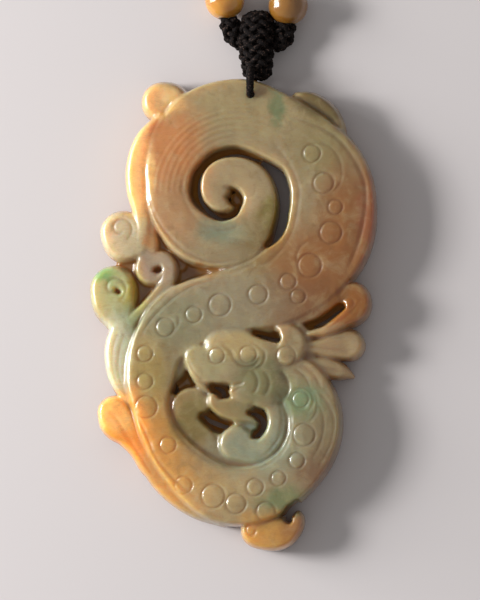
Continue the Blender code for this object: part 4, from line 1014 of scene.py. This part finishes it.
# The table stands just clear of the carving's back, and this far each way from its middle
TABLE_Z = -0.0001
TABLE_HALF = 3.0

# Each light: name, azimuth and elevation in degrees, distance, side, power and colour
LIGHTS = (
    ("window", 173.0, 30.0, 0.55, 0.14, 2.5, (1.0, 0.98, 0.96)),
    ("wide_window", 168.0, 18.0, 0.70, 0.42, 5.6, (1.0, 0.98, 0.97)),
)


class PENDANT_OT_stage(bpy.types.Operator):
    """Adds the camera, the pale table and soft light from the upper left"""

    bl_idname = "pendant.stage"
    bl_label = "Stage"

    def execute(self, context):
        settings = context.scene.pendant_stage
        camera = bpy.data.cameras.new("camera")
        camera.sensor_fit = "VERTICAL"
        camera.sensor_height = 24.0
        camera.lens = camera.sensor_height * settings.camera_height / settings.frame_height
        camera.clip_start = 0.01
        item = bpy.data.objects.new("camera", camera)
        away = self.direction(CAMERA_SIDE, 90.0 - settings.camera_tilt)
        middle = np.array([*VIEW_MIDDLE, VIEW_PLANE])
        item.location = middle + settings.camera_height * away
        item.rotation_euler = self.look_along(away)
        context.scene.collection.objects.link(item)
        context.scene.camera = item
        context.scene.view_settings.view_transform = "Standard"
        corners = [(x * TABLE_HALF, y * TABLE_HALF, TABLE_Z)
                   for x, y in ((-1, -1), (1, -1), (1, 1), (-1, 1))]
        floor = new_object("table", corners, [(0, 1, 2, 3)], smooth=False)
        floor.data.materials.append(stage_material(settings))
        for light in LIGHTS:
            self.add_light(context, *light)
        world = bpy.data.worlds.new("room")
        world.use_nodes = True
        background = world.node_tree.nodes["Background"]
        background.inputs[0].default_value = (1.0, 0.98, 0.97, 1.0)
        background.inputs[1].default_value = settings.room_light
        context.scene.world = world
        return {"FINISHED"}

    @staticmethod
    def direction(azimuth, elevation):
        """The unit vector that points so many degrees round from +X and up from the table."""
        turn = math.radians(azimuth)
        rise = math.radians(elevation)
        flat = math.cos(rise)
        return np.array([flat * math.cos(turn), flat * math.sin(turn), math.sin(rise)])

    @staticmethod
    def look_along(away):
        """Turns for a camera that looks back along a direction, with +Y upwards."""
        x, y, z = away
        return (-math.asin(y), math.atan2(x, z), 0.0)

    @classmethod
    def add_light(cls, context, name, azimuth, elevation, distance, size, power, colour):
        """A square light that looks at the carving."""
        light = bpy.data.lights.new(name, "AREA")
        light.size = size
        light.energy = power
        light.color = colour
        item = bpy.data.objects.new(name, light)
        item.location = distance * cls.direction(azimuth, elevation)
        item.rotation_euler = (0.0, math.radians(90.0 - elevation), math.radians(azimuth))
        context.scene.collection.objects.link(item)


def hole_place(jade, cord):
    """The drilled hole as its middle and radius, a web in from the top edge, and that edge."""
    radius = cord.diameter / 2 + cord.gap
    unit = jade.length / DRAWING_LENGTH
    line = Relief.smooth(RIBBONS["body"][5])
    top = float((line[:, 1] + line[:, 2]).max()) * unit
    return (HOLE_X * unit, top - jade.hole_web - radius, radius), top


class PENDANT_OT_jade(bpy.types.Operator):
    """Adds the carved jade dragon"""

    bl_idname = "pendant.jade"
    bl_label = "Jade dragon"

    def execute(self, context):
        settings = context.scene.pendant_jade
        cord = context.scene.pendant_cord
        (hole_x, hole_y, _), _ = hole_place(settings, cord)
        hole = (hole_x, hole_y, cord.diameter * HOLE_FILL / 2)
        relief = Relief(settings.length, settings.thickness, hole)
        points, faces, read = relief_surface(relief, settings.grid_step, settings.crease_softness)
        jade = new_object("carved_jade", points, faces.tolist())
        for name, values in read.items():
            set_attribute(jade, name, values)
        thin_back(jade, len(points) // 2, settings.face_limit)
        jade.data.materials.append(jade_material(settings))
        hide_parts("jade_dragon")
        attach(jade, "root")
        return {"FINISHED"}


class PENDANT_OT_beads(bpy.types.Operator):
    """Adds the two polished beads"""

    bl_idname = "pendant.beads"
    bl_label = "Beads"

    def execute(self, context):
        radius = context.scene.pendant_beads.diameter / 2
        bore = context.scene.pendant_cord.diameter / 2 + context.scene.pendant_cord.gap
        material = bead_material()
        points, faces = self.surface(radius, bore)
        for name in ("bead_left", "bead_right"):
            low, high = (np.array(corner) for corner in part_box(name))
            bead = new_object("polished_" + name, points + (low + high) / 2, faces)
            bead.data.materials.append(material)
            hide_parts(name)
            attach(bead, "root")
        return {"FINISHED"}

    @staticmethod
    def surface(radius, bore, sides=64, arc_steps=40, bore_steps=6):
        """A ball bored along Y: a closed profile of arc and bore turned round the Y axis."""
        reach = math.asin(bore / radius)
        turn = np.linspace(reach, math.pi - reach, arc_steps)
        along = radius * np.cos(turn)
        out = radius * np.sin(turn)
        along = np.concatenate([along, np.linspace(along[-1], along[0], bore_steps + 2)[1:-1]])
        out = np.concatenate([out, np.full(bore_steps, bore)])
        angle = np.linspace(0.0, 2 * np.pi, sides, endpoint=False)
        points = np.stack([
            out[:, None] * np.cos(angle), np.repeat(along[:, None], sides, axis=1),
            out[:, None] * np.sin(angle)], axis=-1).reshape(-1, 3)
        number = np.arange(len(out) * sides).reshape(len(out), sides)
        after = np.roll(number, -1, axis=1)
        below = np.roll(number, -1, axis=0)
        both = np.roll(after, -1, axis=0)
        faces = np.stack([number, after, both, below], axis=-1).reshape(-1, 4)
        return points, faces[:, ::-1].tolist()


# The twist of the knot's strands: how many plies, and the length of a turn in metres
STRAND_TWIST = {"ply": 4, "twist": 0.0022}
# How high the knot's middle and the strand's lower end behind the jade are, in metres
KNOT_MIDDLE = 0.0018
STRAND_START = 0.0015
# The strand's thickness in the hole as a share of the cord's, and what it gains outside it
STRAND_PRESSED = 0.86
STRAND_GAIN = 0.12

# The knot's braids: axis points (x, y, z, half width, half height) in millimetres, how many
# strands wind round it, half a strand's thickness in metres, and how many turns they make
BRAIDS = (
    (((3.3, 41.6, 2.4, 1.1, 0.9), (3.3, 40.9, 2.4, 2.15, 1.8), (3.2, 39.6, 2.4, 2.45, 2.1),
      (3.1, 37.9, 2.4, 2.5, 2.2), (3.05, 36.2, 2.4, 2.4, 2.1), (3.15, 34.6, 2.5, 2.15, 2.0),
      (3.2, 33.2, 2.6, 1.95, 1.8), (3.2, 32.5, 2.7, 1.1, 0.9)), 12, 0.00042, 1.35),
    (((-0.6, 41.1, 2.5, 0.8, 0.8), (-0.55, 40.3, 2.4, 1.4, 1.25), (-0.35, 39.1, 2.3, 1.4, 1.25),
      (0.25, 38.0, 2.3, 1.2, 1.15), (1.3, 37.2, 2.4, 0.9, 1.0)), 8, 0.00040, 0.8),
    (((6.95, 40.5, 2.5, 0.9, 0.8), (6.95, 39.8, 2.4, 1.45, 1.3), (6.9, 38.6, 2.3, 1.5, 1.3),
      (6.5, 37.5, 2.2, 1.15, 1.1), (5.5, 37.0, 2.3, 0.8, 0.9)), 8, 0.00040, 0.8),
)


class PENDANT_OT_knot(bpy.types.Operator):
    """Adds the braided knot and the strand through the drilled hole"""

    bl_idname = "pendant.knot"
    bl_label = "Braided knot"

    def execute(self, context):
        cord = context.scene.pendant_cord
        hole, edge = hole_place(context.scene.pendant_jade, cord)
        radius = cord.diameter / 2
        parts = [self.strand(hole, edge, radius, context.scene.pendant_jade)]
        for axis, strands, thickness, turns in BRAIDS:
            parts += self.braid(np.array(axis), strands, thickness, turns)
        points, faces = join_surfaces(parts)
        knot = new_object("braided_knot", points, faces)
        knot.data.materials.append(cord_material())
        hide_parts("cord_knot")
        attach(knot, "root")
        return {"FINISHED"}

    @staticmethod
    def strand(hole, edge, radius, jade):
        """The strand behind the web, up through the hole and over the web into the knot."""
        x, hole_y, around = hole
        relief = Relief(jade.length, jade.thickness, hole)
        corner = hole_y + around
        probe = np.linspace(hole_y, edge, 12)
        surface = float(relief.form(np.full_like(probe, x), probe)[1].max())
        route = [(edge + 2.5 * around, STRAND_START), (edge + 1.2 * around, around),
                 (corner, around)]
        for low, start, end, count in ((2 * around, 240.0, 180.0, 3), (surface, 180.0, 90.0, 4)):
            turns = np.radians(np.linspace(start, end, count))
            route += list(zip(corner + around * np.cos(turns), low + around * np.sin(turns)))
        route += [(edge + 0.4 * around, surface + 0.3 * around),
                  (edge + 1.8 * around, KNOT_MIDDLE + 0.35 * (surface - KNOT_MIDDLE)),
                  (edge + 3.0 * around, KNOT_MIDDLE)]
        path = Relief.smooth([(x, y, z) for y, z in route])
        lift = np.clip((path[:, 1] - hole_y) / (edge - hole_y), 0.0, 1.0)
        size = radius * (STRAND_PRESSED + STRAND_GAIN * lift)
        return tube_surface(path, size, 24, groove=0.20, **STRAND_TWIST)

    @staticmethod
    def braid(axis, strands, thickness, turns):
        """A braid round an axis of points (x, y, z, half width, half height), in millimetres.

        Half of the strands wind one way and half the other. Each strand's middle is the axis
        plus the half width times the cosine of its turn, across the axis, and the half height
        times the sine, upwards. Where strands meet, one rides out over the other and then
        dives in under the next, as a cosine of as many waves as there are pairs.
        """
        line = Relief.smooth(axis, 40) / MILLIMETRES
        share = np.linspace(0.0, 1.0, len(line))
        tangent = np.gradient(line[:, :3], axis=0)
        across = np.stack([tangent[:, 1], -tangent[:, 0]], axis=1)
        across /= np.linalg.norm(across, axis=1)[:, None]
        pairs = strands // 2
        parts = []
        for number in range(strands):
            way = 1 if number % 2 else -1
            turn = 2 * np.pi * (turns * share * way + (number // 2) / pairs)
            out = way * 0.45 * thickness * np.cos(2 * np.pi * turns * pairs * share)
            wide = np.maximum(line[:, 3] - thickness, 0.1 * thickness) + out
            high = np.maximum(line[:, 4] - thickness, 0.1 * thickness) + out
            path = line[:, :3] + np.column_stack([
                across * (wide * np.cos(turn))[:, None], high * np.sin(turn)])
            parts.append(tube_surface(path, thickness, 12, groove=0.22, **STRAND_TWIST))
        core = np.minimum(line[:, 3], line[:, 4]) - 1.3 * thickness
        parts.append(tube_surface(line[:, :3], np.maximum(core, 0.2 * thickness), 16))
        return parts


# The coil's middle radius in cord thicknesses, the steps in each of its turns, and the share of a
# layer after which the cord climbs to the next one
COIL_RADIUS = 5.5
COIL_STEPS = 48
CLIMB_FROM = 0.9


class PENDANT_OT_cord(bpy.types.Operator):
    """Adds the necklace cord: from the knot through the beads, and wound into a tied coil"""

    bl_idname = "pendant.cord"
    bl_label = "Necklace cord"

    def execute(self, context):
        cord = context.scene.pendant_cord
        path = self.route(cord)
        points, faces = tube_surface(path, cord.diameter / 2, 12, ply=6, twist=0.004, groove=0.08)
        item = new_object("necklace_cord", points, faces)
        item.data.materials.append(cord_material())
        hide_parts("cord_run_left", "cord_run_right", "cord_coil")
        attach(item, "root")
        tie = bpy.data.objects["cord_tie"]
        tie.data.materials.clear()
        tie.data.materials.append(cord_material())
        return {"FINISHED"}

    @staticmethod
    def route(cord):
        """The cord's middle line.

        Each run goes from the knot's side through a bead to the coil's side. The coil's turns
        wind in and out, layer on layer, between the runs' ends, half a turn more than whole.
        """
        half = cord.diameter / 2
        low, high = (np.array(corner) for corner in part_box("cord_coil"))
        middle = (low + high) / 2
        outer = (high[0] - low[0]) / 2 - half
        drop = math.sqrt((outer + half) ** 2 - (outer - half) ** 2) + cord.gap
        runs = []
        for name, side, level in (
                ("bead_left", -1, low[2] + half), ("bead_right", 1, high[2] - half)):
            bead_low, bead_high = (np.array(corner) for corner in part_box(name))
            bead = (bead_low + bead_high) / 2
            reach = (bead_high[2] - bead_low[2]) / 2
            join_x = middle[0] + side * outer
            join_y = middle[1] - drop
            beyond = bead[1] + reach
            span = join_y - beyond
            runs.append(np.array([
                (bead[0], bead[1] - reach - 0.5 * cord.gap, bead[2]),
                (bead[0], bead[1], bead[2]),
                (bead[0], beyond + 0.08 * span, bead[2] - 0.2 * half),
                (bead[0] + 0.30 * (join_x - bead[0]), beyond + 0.35 * span,
                 0.45 * bead[2] + 0.55 * half),
                (bead[0] + 0.80 * (join_x - bead[0]), beyond + 0.68 * span,
                 0.75 * half + 0.25 * level),
                (join_x, join_y, level)]))
        left, right = runs
        run_length = sum(
            np.linalg.norm(np.diff(Relief.smooth(run), axis=0), axis=1).sum() for run in runs)
        layers = round((high[2] - low[2]) / cord.diameter)
        radius = COIL_RADIUS * cord.diameter
        spread = outer - radius
        turns = (cord.length - run_length) / (2 * math.pi * radius)
        turns = math.floor(turns - 0.5) + 0.5
        share = np.linspace(0.0, 1.0, int(turns * COIL_STEPS))
        layer = share * layers
        number = np.minimum(np.floor(layer), layers - 1)
        inward = layer - number
        swing = np.where(number % 2 == 0, 1.0 - 2.0 * inward, 2.0 * inward - 1.0)
        rise = np.clip((inward - CLIMB_FROM) / (1.0 - CLIMB_FROM), 0.0, 1.0)
        climb = number + rise * (number < layers - 1)
        angle = math.pi - 2 * math.pi * turns * share
        away = radius + spread * swing
        coil = np.stack([
            middle[0] + away * np.cos(angle), middle[1] + away * np.sin(angle),
            low[2] + half + climb * cord.diameter], axis=1)
        return np.vstack([Relief.smooth(left), coil, Relief.smooth(right[::-1])])


class PENDANT_PT_panel(bpy.types.Panel):
    """The pendant's pieces and their sizes"""

    bl_idname = "PENDANT_PT_panel"
    bl_label = "Jade Pendant"
    bl_space_type = "VIEW_3D"
    bl_region_type = "UI"
    bl_category = "Jade Pendant"

    def draw(self, context):
        for group, names in PANEL_ROWS:
            settings = getattr(context.scene, group)
            box = self.layout.box()
            for name in names:
                box.prop(settings, name)
        for operator in OPERATORS:
            self.layout.operator(operator.bl_idname)


GROUPS = {
    "pendant_jade": JadeSettings,
    "pendant_cord": CordSettings,
    "pendant_beads": BeadSettings,
    "pendant_stage": StageSettings,
}
PANEL_ROWS = tuple((group, tuple(cls.__annotations__)) for group, cls in GROUPS.items())
OPERATORS = (
    PENDANT_OT_stage, PENDANT_OT_cord, PENDANT_OT_jade, PENDANT_OT_beads, PENDANT_OT_knot)
CLASSES = (*GROUPS.values(), *OPERATORS, PENDANT_PT_panel)


def register():
    """Register every class and give the scene its settings."""
    for cls in CLASSES:
        bpy.utils.register_class(cls)
    for name, cls in GROUPS.items():
        setattr(bpy.types.Scene, name, PointerProperty(type=cls))


def unregister():
    """Take back what register does."""
    for name in GROUPS:
        delattr(bpy.types.Scene, name)
    for cls in reversed(CLASSES):
        bpy.utils.unregister_class(cls)


def main():
    """Make every piece in order."""
    register()
    bpy.ops.pendant.stage()
    bpy.ops.pendant.cord()
    bpy.ops.pendant.jade()
    bpy.ops.pendant.beads()
    bpy.ops.pendant.knot()


if __name__ == "__main__":
    main()
